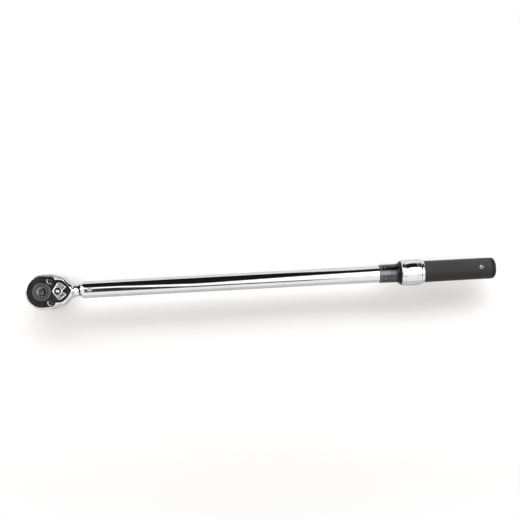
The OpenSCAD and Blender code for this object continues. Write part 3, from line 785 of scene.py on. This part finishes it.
def build_handle():
    """Thimble, lock ring, collar, grip, end cap and rolled pin."""
    cone_x0 = THIMBLE_X0 + 24.4
    cone_x1 = THIMBLE_X0 + 28.2
    bore = TUBE_R + 0.06
    seat_x = THIMBLE_X0 + 26.75
    thimble = turned("graduated_thimble", [
        (THIMBLE_X0, bore, 0.2),
        (THIMBLE_X0, THIMBLE_R - 0.35, 0.3),
        (THIMBLE_X0 + 0.45, THIMBLE_R + 0.22, 0.35),
        (THIMBLE_X0 + 1.0, THIMBLE_R + 0.22, 0.2),
        (THIMBLE_X0 + 1.3, THIMBLE_R, 0.2),
        (THIMBLE_X0 + 14.2, THIMBLE_R, 0.08),
        (THIMBLE_X0 + 14.35, THIMBLE_R - 0.16, 0.08),
        (THIMBLE_X0 + 14.6, THIMBLE_R - 0.16, 0.08),
        (THIMBLE_X0 + 14.75, THIMBLE_R, 0.08),
        (cone_x0, THIMBLE_R, 2.2),
        (cone_x1 - 0.2, CONE_R, 0.5),
        (THIMBLE_X1, CONE_R, 0.3),
        (THIMBLE_X1, HANDLE_TUBE_R, 0.1),
        (seat_x, HANDLE_TUBE_R, 0.1),
        (seat_x, bore, 0.1),
    ], "handle", steps=6)
    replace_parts(outward(thimble), "thimble")
    rim = 0.9
    front_rim = 1.4
    step_x = RING_X0 + 24
    cam = THIMBLE_X0 + 37.9
    spring_r = 15.9
    ball_r = 15.2
    sleeve_r = 14.32
    ring = turned("lock_sleeve", [
        (RING_X0, RING_BORE_R, 0.1),
        (RING_X0, RING_R - front_rim, 0.3),
        (RING_X0 + front_rim, RING_R, 1.2),
        *ring_groove(RING_X0 + 3.9, 1.4, 0.8, 0.5, RING_R),
        *ring_groove(RING_X0 + 20.6, 0.7, 0.4, 0.4, RING_R),
        (step_x - 0.4, RING_R, 0.15),
        (step_x, RING_R - 0.8, 0.2),
        (step_x + 1, RING_R - 0.8, 0.2),
        (RING_X1 - rim, RING_R - 0.4, 0.6),
        (RING_X1, RING_R - rim, 0.3),
        (RING_X1, spring_r, 0.2),
        (cam + 4.5, spring_r, 0.1),
        (cam + 4.5, sleeve_r, 0.1),
        (cam, sleeve_r, 0.1),
        (cam - 1, ball_r, 0.1),
        (cam - 4.4, ball_r, 0.1),
        (cam - 5.4, RING_BORE_R, 0.1),
    ], "lock", segs=192, steps=5)
    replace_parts(outward(ring), "lock_ring")
    collar = turned("rear_collar", [
        (COLLAR_X0, HANDLE_TUBE_R, 0.1),
        (COLLAR_X0, COLLAR_R, 0.4),
        (COLLAR_X1 - 1, COLLAR_R, 0.6),
        (COLLAR_X1, COLLAR_R - 0.8, 0.3),
        (COLLAR_X1, HANDLE_TUBE_R, 0.1),
    ], "handle", segs=192)
    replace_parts(outward(collar), "lock_collar")
    grip = turned("handle_grip", [
        (GRIP_X0, GRIP_BORE_R, 0.1),
        (GRIP_X0, GRIP_R - 0.7, 0.4),
        (GRIP_X0 + 0.7, GRIP_R, 0.7),
        (GRIP_X0 + 30, GRIP_R - 0.1, 3),
        (GRIP_X0 + 60, GRIP_R - 0.25, 3),
        (GRIP_X1 - 0.6, GRIP_REAR_R, 0.4),
        (GRIP_X1, GRIP_REAR_R - 0.15, 0.1),
        (GRIP_X1, GRIP_BORE_R, 0.1),
    ], "handle", segs=192)
    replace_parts(outward(grip), "grip")
    cap = turned("grip_cap", [
        (CAP_X1 - 0.25, 0, 0),
        (CAP_X1 - 0.25, 6.6, 0.3),
        (CAP_X1, 7.4, 0.4),
        (CAP_X1, 10.2, 2.4),
        (CAP_X1 - 2.6, GRIP_REAR_R - 0.35, 3.0),
        (GRIP_X1 + 0.65, GRIP_REAR_R, 0.3),
        (GRIP_X1 + 0.05, GRIP_REAR_R - 0.2, 0.1),
        (GRIP_X1 + 0.05, CAP_PLUG_R, 0.1),
        (CAP_X0, CAP_PLUG_R, 0.2),
        (CAP_X0, 10, 0.2),
        (CAP_X1 - 4, 10, 0.5),
        (CAP_X1 - 4, 0, 0),
    ], "handle", segs=160, closed=False, steps=7)
    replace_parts(outward(cap), "end_cap")
    outer, hole, root, top = 2.4, 1.3, 6.2, GRIP_REAR_R + 0.16
    profile = soften([
        (root, hole, 0.1), (top - 0.25, hole, 0.3), (top, hole + 0.4, 0.3), (top, outer - 0.4, 0.4),
        (top - 0.4, outer, 0.3), (root, outer, 0.1),
    ], 4, True)
    verts, faces = lathe_data(profile, 64, True)
    turn = np.array(Matrix.Rotation(-math.radians(PIN_LEAN), 3, "X"))
    verts = verts @ turn.T + np.array([middle("roll_pin", "x"), 0, AXIS_Z])
    pin = outward(new_object("rolled_pin", verts, faces, "handle"))
    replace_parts(pin, "roll_pin")
    return thimble, ring, collar, grip, cap, pin


# ---- materials

class Nodes:
    """Adds, sets and links the nodes of one material or world."""

    def __init__(self, owner):
        owner.use_nodes = True
        self.tree = owner.node_tree

    def add(self, kind, **settings):
        node = self.tree.nodes.new(kind)
        for key, value in settings.items():
            setattr(node, key, value)
        return node

    def wire(self, a, b):
        self.tree.links.new(a, b)

    def fill(self, node, values):
        """Sets or links a node's first inputs in order, and gives its first output."""
        for socket, value in zip(node.inputs, values):
            if isinstance(value, bpy.types.NodeSocket):
                self.wire(value, socket)
            else:
                socket.default_value = value
        return node.outputs[0]

    def math(self, op, *values):
        return self.fill(self.add("ShaderNodeMath", operation=op), values)

    def chain(self, op, *values):
        """One operation over several values, from left to right."""
        total = values[0]
        for value in values[1:]:
            total = self.math(op, total, value)
        return total

    def ramp(self, value, a0, a1, b0, b1, smooth=False):
        """Carries a value from the range a0 to a1 over to the range b0 to b1."""
        node = self.add("ShaderNodeMapRange", interpolation_type="SMOOTHSTEP" if smooth else "LINEAR")
        return self.fill(node, (value, a0, a1, b0, b1))

    def within(self, value, a0, a1, b0, b1, smooth=False):
        """1 between a1 and b0, which falls to 0 at a0 and at b1."""
        rise = self.ramp(value, a0, a1, 0, 1, smooth)
        return self.math("MULTIPLY", rise, self.ramp(value, b0, b1, 1, 0, smooth))

    def blend(self, fac, a, b):
        """Mixes two shaders."""
        return self.fill(self.add("ShaderNodeMixShader"), (fac, a, b))


class Finish(Nodes):
    """A material, patterned in the object's own coordinates."""

    def __init__(self, name):
        self.name = name
        self.mat = bpy.data.materials.new(name)
        super().__init__(self.mat)
        self.shader = self.tree.nodes["Principled BSDF"]
        self.place = self.add("ShaderNodeTexCoord").outputs["Object"]

    def stretched(self, scale):
        node = self.add("ShaderNodeMapping")
        node.inputs["Scale"].default_value = scale
        self.wire(self.place, node.inputs["Vector"])
        return node.outputs["Vector"]

    def noise(self, scale, detail, stretch=(1, 1, 1), rough=0.55):
        node = self.add("ShaderNodeTexNoise")
        self.wire(self.stretched(stretch), node.inputs["Vector"])
        for key, value in (("Scale", scale), ("Detail", detail), ("Roughness", rough)):
            node.inputs[key].default_value = value
        return node.outputs["Fac"]

    def mix(self, fac, a, b):
        """Mixes two colours."""
        node = self.add("ShaderNodeMix", data_type="RGBA")
        self.wire(fac, node.inputs[0])
        for key, colour in ((6, a), (7, b)):
            if isinstance(colour, tuple):
                node.inputs[key].default_value = (*colour, 1)
            else:
                self.wire(colour, node.inputs[key])
        return node.outputs[2]

    def bump(self, height, strength):
        node = self.add("ShaderNodeBump")
        node.inputs["Strength"].default_value = strength
        node.inputs["Distance"].default_value = BUMP_DEPTH
        self.wire(height, node.inputs["Height"])
        self.wire(node.outputs["Normal"], self.shader.inputs["Normal"])

    def axes(self):
        node = self.add("ShaderNodeSeparateXYZ")
        self.wire(self.place, node.inputs[0])
        return node.outputs

    def along(self, axis):
        """Place along one axis, in millimetres."""
        return self.math("DIVIDE", self.axes()[axis], MM)

    def radius(self, x, y):
        """Distance from an upright axis, in millimetres."""
        out = self.axes()
        dx = self.math("SUBTRACT", out[0], x * MM)
        dy = self.math("SUBTRACT", out[1], y * MM)
        square = self.math("ADD", self.math("MULTIPLY", dx, dx), self.math("MULTIPLY", dy, dy))
        return self.math("DIVIDE", self.math("SQRT", square), MM)

    def slant(self, x, y):
        """Place along a level direction, in millimetres times the direction's length."""
        out = self.axes()
        return self.math("ADD", self.math("MULTIPLY", out[0], x / MM), self.math("MULTIPLY", out[1], y / MM))

    def tint(self, mask, colour):
        """Mixes a colour over the base colour where the mask is 1."""
        base = self.shader.inputs["Base Color"]
        self.wire(self.mix(mask, base.links[0].from_socket, colour), base)

    def edges(self, start, end):
        """1 on sharp outer edges."""
        return self.ramp(self.add("ShaderNodeNewGeometry").outputs["Pointiness"], start, end, 0, 1)


def metal(name, dark, light, rough, grain=(1, 1, 1), grain_scale=900, bump=0.02, worn=None):
    """Metal with cloudy colour, uneven gloss and fine grain; worn is the colour and range of rubbed edges."""
    n = Finish(name)
    n.shader.inputs["Metallic"].default_value = 1.0
    cloud = n.noise(55, 4)
    fine = n.noise(grain_scale, 3, grain)
    colour = n.mix(n.ramp(cloud, 0.35, 0.65, 0, 1), dark, light)
    if worn:
        rub = n.ramp(n.noise(600, 5), 0.3, 0.6, 0.35, 1)
        colour = n.mix(n.math("MULTIPLY", n.edges(worn[1], worn[2]), rub), colour, worn[0])
    n.wire(colour, n.shader.inputs["Base Color"])
    uneven = n.math("MULTIPLY_ADD", fine, 0.4, n.noise(140, 5))
    n.wire(n.ramp(uneven, 0.5, 0.95, *rough), n.shader.inputs["Roughness"])
    n.bump(fine, bump)
    return n


def soft_black(name, dark, light, rough, pore_scale, bump):
    """Dark moulded or sprayed skin with fine pores and uneven sheen."""
    n = Finish(name)
    cloud = n.noise(40, 5)
    pores = n.noise(pore_scale, 2, rough=0.7)
    n.wire(n.mix(n.ramp(cloud, 0.3, 0.7, 0, 1), dark, light), n.shader.inputs["Base Color"])
    n.wire(n.ramp(cloud, 0.3, 0.7, *rough), n.shader.inputs["Roughness"])
    n.bump(pores, bump)
    for key, value in (("Specular IOR Level", 0.25), ("Sheen Weight", 0.12), ("Sheen Roughness", 0.35)):
        n.shader.inputs[key].default_value = value
    return n


def lever_finish():
    """Chrome, tinted dark grey in the sunk wings and below, with painted shade that makes the cup nearly
    black.
    """
    n = metal("lever_chrome", *CHROME, (0.04, 0.12), bump=0.01)
    height = n.along(2)
    # dark grey tint below the tops of the rims: the sunk wings and the lever's sides
    n.tint(n.ramp(height, LEVER_Z1 - 0.75, LEVER_Z1 - 0.3, 1, 0), (0.26, 0.26, 0.27))
    # painted shade: the cup round the shaft is nearly black
    cup = n.ramp(n.radius(SEL_X, 0), 4.7, 5.0, 1, 0)
    cup_shade_depth = n.ramp(height, LEVER_Z1 - 0.9, LEVER_Z1 - 0.4, 1, 0)
    n.tint(n.math("MULTIPLY", cup, cup_shade_depth), (0.015, 0.015, 0.016))
    return n


def plate_finish():
    """Black oxide, with a painted highlight on one side of the rims of its sinks."""
    n = metal(
        "plate_black", (0.012, 0.012, 0.013), (0.04, 0.04, 0.041), (0.34, 0.5),
        grain_scale=1400, bump=0.12, worn=((0.16, 0.16, 0.17), 0.53, 0.6),
    )
    for s in (-1, 1):
        # painted highlight on each sink's rim, on its side towards -x and -y
        rim = n.within(n.radius(SCREW_X, s * SCREW_Y), 3.9, 4.2, 4.9, 5.2)
        start = -0.7 * SCREW_X - 0.7 * s * SCREW_Y
        bright = n.ramp(n.slant(-0.7, -0.7), start + 0.3, start + 3.2, 0, 1)
        n.tint(n.math("MULTIPLY", rim, bright), (0.62, 0.62, 0.63))
    return n


def head_finish():
    """Chrome, with painted shade where the neck goes into the tube."""
    n = metal("head_chrome", *CHROME, (0.02, 0.07), bump=0.004)
    # painted shade: a dark band on the neck from just before the tube's nose inwards
    n.tint(n.within(n.along(0), TUBE_X0 - 2.2, TUBE_X0 - 1.6, 60, 61), (0.05, 0.05, 0.05))
    return n


def thimble_finish():
    """Dark anodised thimble, with painted shade on its flared rear end."""
    n = metal(
        "thimble_black", (0.08, 0.083, 0.093), (0.11, 0.113, 0.123), (0.16, 0.24),
        RING_GRAIN, 4000, 0.06, worn=((0.3, 0.31, 0.33), 0.55, 0.65),
    )
    # painted shade, growing darker towards the flared rear end
    n.tint(n.ramp(n.along(0), THIMBLE_X0 + 20.5, THIMBLE_X0 + 24.5, 0, 1), (0.03, 0.03, 0.032))
    return n


def turned_finish(name, rings, height, under):
    """Machined dark steel, with painted shade below a height, and rings with a painted highlight on one side
    and painted shade on the other.

    Each ring is its inner and outer radius, the tone of its painted highlight and the tone of its painted
    shade.
    """
    n = metal(
        name, (0.06, 0.061, 0.064), (0.1, 0.1, 0.105), (0.32, 0.46),
        grain_scale=1500, bump=0.08, worn=((0.3, 0.3, 0.31), 0.52, 0.6),
    )
    far = n.radius(0, 0)
    above = n.ramp(n.along(2), height - 0.3, height, 0, 1)
    # the painted light falls from -x and +y: each ring gets a painted highlight on that side and painted
    # shade on the other
    side = n.slant(-0.9, 0.44)
    blur = 0.15
    for r0, r1, light, dark in rings:
        mask = n.math("MULTIPLY", n.within(far, r0 - blur, r0 + blur, r1 - blur, r1 + blur), above)
        lit = n.ramp(side, -0.35 * r1, 0.4 * r1, 0, 1)
        n.tint(n.math("MULTIPLY", mask, lit), (light, light, light * 1.02))
        n.tint(n.math("MULTIPLY", mask, n.math("SUBTRACT", 1.0, lit)), (dark, dark, dark))
    # painted shade below the height
    n.tint(n.math("SUBTRACT", 1.0, above), (under, under, under))
    return n


BUMP_DEPTH = 0.0002
RING_GRAIN = (1.0, 0.02, 0.02)
CHROME = ((0.83, 0.835, 0.84), (0.88, 0.88, 0.885))
mats = {finish.name: finish.mat for finish in (
    metal("chrome", *CHROME, (0.02, 0.07), bump=0.004),
    metal(
        "black_plate", (0.017, 0.017, 0.018), (0.03, 0.03, 0.031), (0.34, 0.5),
        grain_scale=1400, bump=0.12, worn=((0.2, 0.2, 0.21), 0.53, 0.6),
    ),
    metal(
        "black_steel", (0.02, 0.02, 0.022), (0.05, 0.05, 0.052), (0.25, 0.4),
        grain_scale=1200, bump=0.05, worn=((0.35, 0.35, 0.36), 0.54, 0.62),
    ),
    metal(
        "dark_steel", (0.06, 0.061, 0.064), (0.1, 0.1, 0.105), (0.24, 0.4),
        grain_scale=1500, bump=0.08, worn=((0.42, 0.42, 0.43), 0.52, 0.6),
    ),
    metal("bearing_steel", (0.5, 0.5, 0.51), (0.62, 0.62, 0.63), (0.1, 0.24), bump=0.02),
    metal("spring_steel", (0.14, 0.14, 0.15), (0.22, 0.22, 0.23), (0.25, 0.4), bump=0.03),
    metal("brass", (0.6, 0.42, 0.16), (0.72, 0.52, 0.22), (0.2, 0.35), RING_GRAIN, 3000, 0.05),
    soft_black("rubber", (0.012, 0.012, 0.012), (0.02, 0.02, 0.02), (0.5, 0.7), 1800, 0.15),
    metal(
        "black_thimble", (0.085, 0.09, 0.105), (0.115, 0.12, 0.135), (0.16, 0.24),
        RING_GRAIN, 4000, 0.06, worn=((0.3, 0.31, 0.33), 0.55, 0.65),
    ),
    soft_black("black_grip", (0.019, 0.019, 0.02), (0.028, 0.028, 0.029), (0.6, 0.72), 2600, 0.3),
    # black_cap is darker than the grip: partly a separate plastic cap, partly painted shade on the wrench's
    # far end
    soft_black("black_cap", (0.005, 0.005, 0.005), (0.009, 0.009, 0.009), (0.45, 0.6), 2600, 0.3),
    soft_black("pale_paint", (0.3, 0.31, 0.33), (0.45, 0.45, 0.46), (0.4, 0.6), 1500, 0.1),
    metal("pin_end", (0.38, 0.38, 0.39), (0.5, 0.5, 0.5), (0.3, 0.45), (1, 0.05, 1), 2500, 0.1),
    soft_black("dark_etch", (0.02, 0.02, 0.02), (0.05, 0.05, 0.05), (0.5, 0.7), 1500, 0.1),
    # boss and button: painted highlights and painted shade on their rings, and painted shade below their tops
    turned_finish(
        "boss_steel",
        ((BOSS_R - 0.9, BOSS_R + 0.5, 0.22, 0.13), (RECESS_R - 0.3, RECESS_R + 0.9, 0.11, 0.006)),
        BOSS_Z1 - 0.9, 0.02,
    ),
    turned_finish(
        "button_steel", ((BUTTON_R - 1.35, BUTTON_R + 0.3, 0.36, 0.006),), BUTTON_Z1 - 1.2, 0.006,
    ),
    thimble_finish(),
    lever_finish(),
    plate_finish(),
    head_finish(),
)}


# ---- building

head = build_head()
plate = build_plate()
screws = build_screws()
drive, button = build_drive()
lever, shaft = build_selector()
tube = build_tube()
pivot = build_pivot_pin()
marks, scale = build_marks()
thimble, ring, collar, grip, cap, pin = build_handle()

for obj, name in (
    (head, "head_chrome"), (plate, "plate_black"), (screws, "black_steel"), (drive, "boss_steel"),
    (button, "button_steel"), (lever, "lever_chrome"), (shaft, "bearing_steel"), (tube, "chrome"),
    (pivot, "pin_end"), (marks, "pale_paint"), (scale, "dark_etch"), (thimble, "thimble_black"),
    (ring, "chrome"), (collar, "chrome"), (grip, "black_grip"), (cap, "black_cap"), (pin, "bearing_steel"),
):
    obj.data.materials.clear()
    obj.data.materials.append(mats[name])
for row in frame["record"]["subparts"]:
    for slot in frame["nodes"][row["node"]].material_slots:
        slot.material = mats[row["material_slot"]]


# ---- floor, light and camera

FLOOR_REACH = 40000
FLOOR_GAP = 0.05
LENGTH_MID = 290
# the floor's fade to white: its start and end in metres, and how much slower it goes along the wrench
FADE = (0.2, 0.38)
SQUEEZE = 0.55
AMBIENT = 0.32
WARM = (1, 0.965, 0.945)
SOFTBOX = 1.2
SOFTBOX_REAR = 2.8
# small lamps that only bevels and fillets mirror: direction, half angle, strength
LAMPS = (((0.62, 0.12, 0.76), 0.26, 3.0), ((-0.74, 0.4, 0.55), 0.3, 4.0))


def build_floor():
    """Pale level floor just under the drive square's end face.

    Mirrors see it darker than the camera does, and away from the wrench the camera sees it turn white.
    """
    verts = [(x, y, -FLOOR_GAP) for x in (-FLOOR_REACH, FLOOR_REACH) for y in (-FLOOR_REACH, FLOOR_REACH)]
    mesh = bpy.data.meshes.new("floor")
    mesh.from_pydata([[c * MM for c in v] for v in verts], [], [[0, 2, 3, 1]])
    floor = bpy.data.objects.new("floor", mesh)
    bpy.context.scene.collection.objects.link(floor)
    n = Finish("floor")
    n.shader.inputs["Base Color"].default_value = (0.86, 0.855, 0.85, 1)
    n.shader.inputs["Roughness"].default_value = 0.9
    n.shader.inputs["Specular IOR Level"].default_value = 0.1
    mirrored = n.add("ShaderNodeBsdfDiffuse")
    mirrored.inputs["Color"].default_value = (0.53, 0.53, 0.53, 1)
    away = n.add("ShaderNodeVectorMath", operation="DISTANCE")
    away.inputs[1].default_value = (LENGTH_MID * MM * SQUEEZE, 0, 0)
    n.wire(n.stretched((SQUEEZE, 1, 1)), away.inputs[0])
    fade = n.ramp(away.outputs["Value"], *FADE, 0, 1, smooth=True)
    path = n.add("ShaderNodeLightPath").outputs
    lit = n.blend(path["Is Glossy Ray"], n.shader.outputs[0], mirrored.outputs[0])
    white = n.add("ShaderNodeEmission").outputs[0]
    whole = n.blend(n.math("MULTIPLY", fade, path["Is Camera Ray"]), lit, white)
    n.wire(whole, n.tree.nodes["Material Output"].inputs["Surface"])
    mesh.materials.append(n.mat)


def area_light(name, place, target, size, power, colour=(1, 1, 1)):
    """Soft lamp that mirrors and the camera don't see; mirrors see the world's pattern instead."""
    data = bpy.data.lights.new(name, "AREA")
    data.shape = "RECTANGLE"
    data.size, data.size_y = size
    data.energy = power
    data.color = colour
    obj = bpy.data.objects.new(name, data)
    obj.location = place
    obj.rotation_euler = (Vector(target) - Vector(place)).to_track_quat("-Z", "Y").to_euler()
    bpy.context.scene.collection.objects.link(obj)
    obj.visible_glossy = False
    obj.visible_camera = False


def build_world():
    """White for the camera, pale light for surfaces, and a studio pattern that only mirrors see.

    The pattern depends on the direction in which a mirror looks: its angle about the wrench's length,
    in degrees from straight up towards +y, and its part along the length, x.
    """
    world = bpy.data.worlds.new("studio")
    bpy.context.scene.world = world
    n = Nodes(world)
    n.tree.nodes.clear()
    toward = n.add("ShaderNodeTexCoord").outputs["Generated"]
    split = n.add("ShaderNodeSeparateXYZ")
    n.wire(toward, split.inputs[0])
    x, y, z = split.outputs
    angle = n.math("MULTIPLY", n.math("ARCTAN2", y, z), 180 / math.pi)

    def over_x(op, *rows):
        """Several ramps over x, added or multiplied."""
        return n.chain(op, *(n.ramp(x, *row) for row in rows))

    def band(low_edge, high_edge, blur):
        """1 between two angles, each blurred both ways."""
        edges = (low_edge, high_edge)
        ends = [n.math(op, edge, blur) for edge in edges for op in ("SUBTRACT", "ADD")]
        return n.within(angle, *ends, smooth=True)

    def spot(direction, half, strength):
        node = n.add("ShaderNodeVectorMath", operation="DOT_PRODUCT")
        n.wire(toward, node.inputs[0])
        node.inputs[1].default_value = Vector(direction).normalized()
        outer, inner = math.cos(half * 1.3), math.cos(half)
        return n.ramp(node.outputs["Value"], outer, inner, 0, strength, smooth=True)

    # dark wall on the far side
    near = over_x(
        "ADD", (-0.16, -0.075, 27, 3), (-0.06, 0.04, 0, 24), (0.04, 0.1, 0, 10), (-0.215, -0.19, 14, 0),
        (0.11, 0.15, 0, 6), (0.28, 0.42, 0, -30),
    )
    far = over_x("ADD", (-0.02, 0.09, 99, 79), (0.11, 0.15, 0, 7))
    wall = band(near, far, 5)
    # thin dark strip beside the overhead softbox
    centre = over_x("ADD", (-0.16, -0.08, -15, -36))
    width = over_x("ADD", (-0.16, -0.08, 25, 8), (-0.06, 0.03, 0, -1.5))
    power = over_x("MULTIPLY", (0.05, 0.1, 0.97, 0.0), (-0.215, -0.195, 0, 1))
    strip = band(n.math("SUBTRACT", centre, width), n.math("ADD", centre, width), 3)
    dark = n.math("MAXIMUM", wall, n.math("MULTIPLY", strip, power))
    # overhead softbox, brighter towards the grip
    box_lo = over_x("ADD", (-0.16, -0.08, 10, -15))
    box_hi = n.math("SUBTRACT", near, 8)
    front = n.ramp(x, -0.21, -0.19, 0.2, 1)
    rear = n.ramp(x, 0.11, 0.14, 1, SOFTBOX_REAR)
    box = n.chain("MULTIPLY", band(box_lo, box_hi, 8), front, rear)
    level = n.math("ADD", n.ramp(angle, -40, -110, 1.22, 1.02), n.math("MULTIPLY", box, SOFTBOX))
    ends = over_x("MULTIPLY", (-0.97, -0.85, 0.2, 1), (0.72, 0.85, 1, 0.12))
    level = n.chain("MULTIPLY", level, ends, n.math("SUBTRACT", 1.0, n.math("MULTIPLY", dark, 0.99)))
    level = n.math("ADD", level, n.math("MAXIMUM", *(spot(*lamp) for lamp in LAMPS)))
    pattern = n.add("ShaderNodeBackground")
    n.wire(level, pattern.inputs["Strength"])
    plain = n.add("ShaderNodeBackground")
    plain.inputs["Color"].default_value = (1, 0.985, 0.965, 1)
    plain.inputs["Strength"].default_value = AMBIENT
    white = n.add("ShaderNodeBackground")
    white.inputs["Color"].default_value = (1, 1, 1, 1)
    path = n.add("ShaderNodeLightPath").outputs
    room = n.blend(path["Is Glossy Ray"], plain.outputs[0], pattern.outputs[0])
    room = n.blend(path["Is Camera Ray"], room, white.outputs[0])
    n.wire(room, n.add("ShaderNodeOutputWorld").inputs["Surface"])


def build_camera():
    """Camera straight above the wrench, turned so that the grip end rises a little."""
    turn = math.radians(3.09)
    lean = math.radians(2.0)
    station, aside, distance = 0.292, 0.0274, 1.210
    right = Vector((math.cos(turn), -math.sin(turn), 0))
    up = Vector((math.sin(turn), math.cos(turn), 0))
    back = Vector((0, 0, 1))
    place = Matrix.Translation(Vector((station, aside, distance)))
    look = Matrix((right, up, back)).transposed().to_4x4()
    axis = Matrix.Translation(Vector((0, 0, AXIS_Z * MM)))
    data = bpy.data.cameras.new("camera")
    data.sensor_width = 36
    data.lens = 62.3
    data.clip_start = 0.01
    data.clip_end = 50
    camera = bpy.data.objects.new("camera", data)
    camera.matrix_world = axis @ Matrix.Rotation(lean, 4, "X") @ place @ look
    bpy.context.scene.collection.objects.link(camera)
    bpy.context.scene.camera = camera


build_floor()
build_world()
area_light("key", (0.42, 0.68, 0.46), (0.3, 0.0, 0.0), (2.8, 0.36), 18.5)
area_light("left fill", (-0.25, -0.1, 0.8), (0.0, 0.0, 0.0), (0.6, 0.6), 4, WARM)
area_light("right fill", (0.85, -0.1, 0.7), (0.7, 0.0, 0.0), (0.5, 0.6), 1.5, WARM)
area_light("grip fill", (0.62, -0.16, 0.3), (0.56, -0.03, 0.0), (0.2, 0.2), 0.13, WARM)
build_camera()
bpy.context.scene.view_settings.view_transform = "Standard"
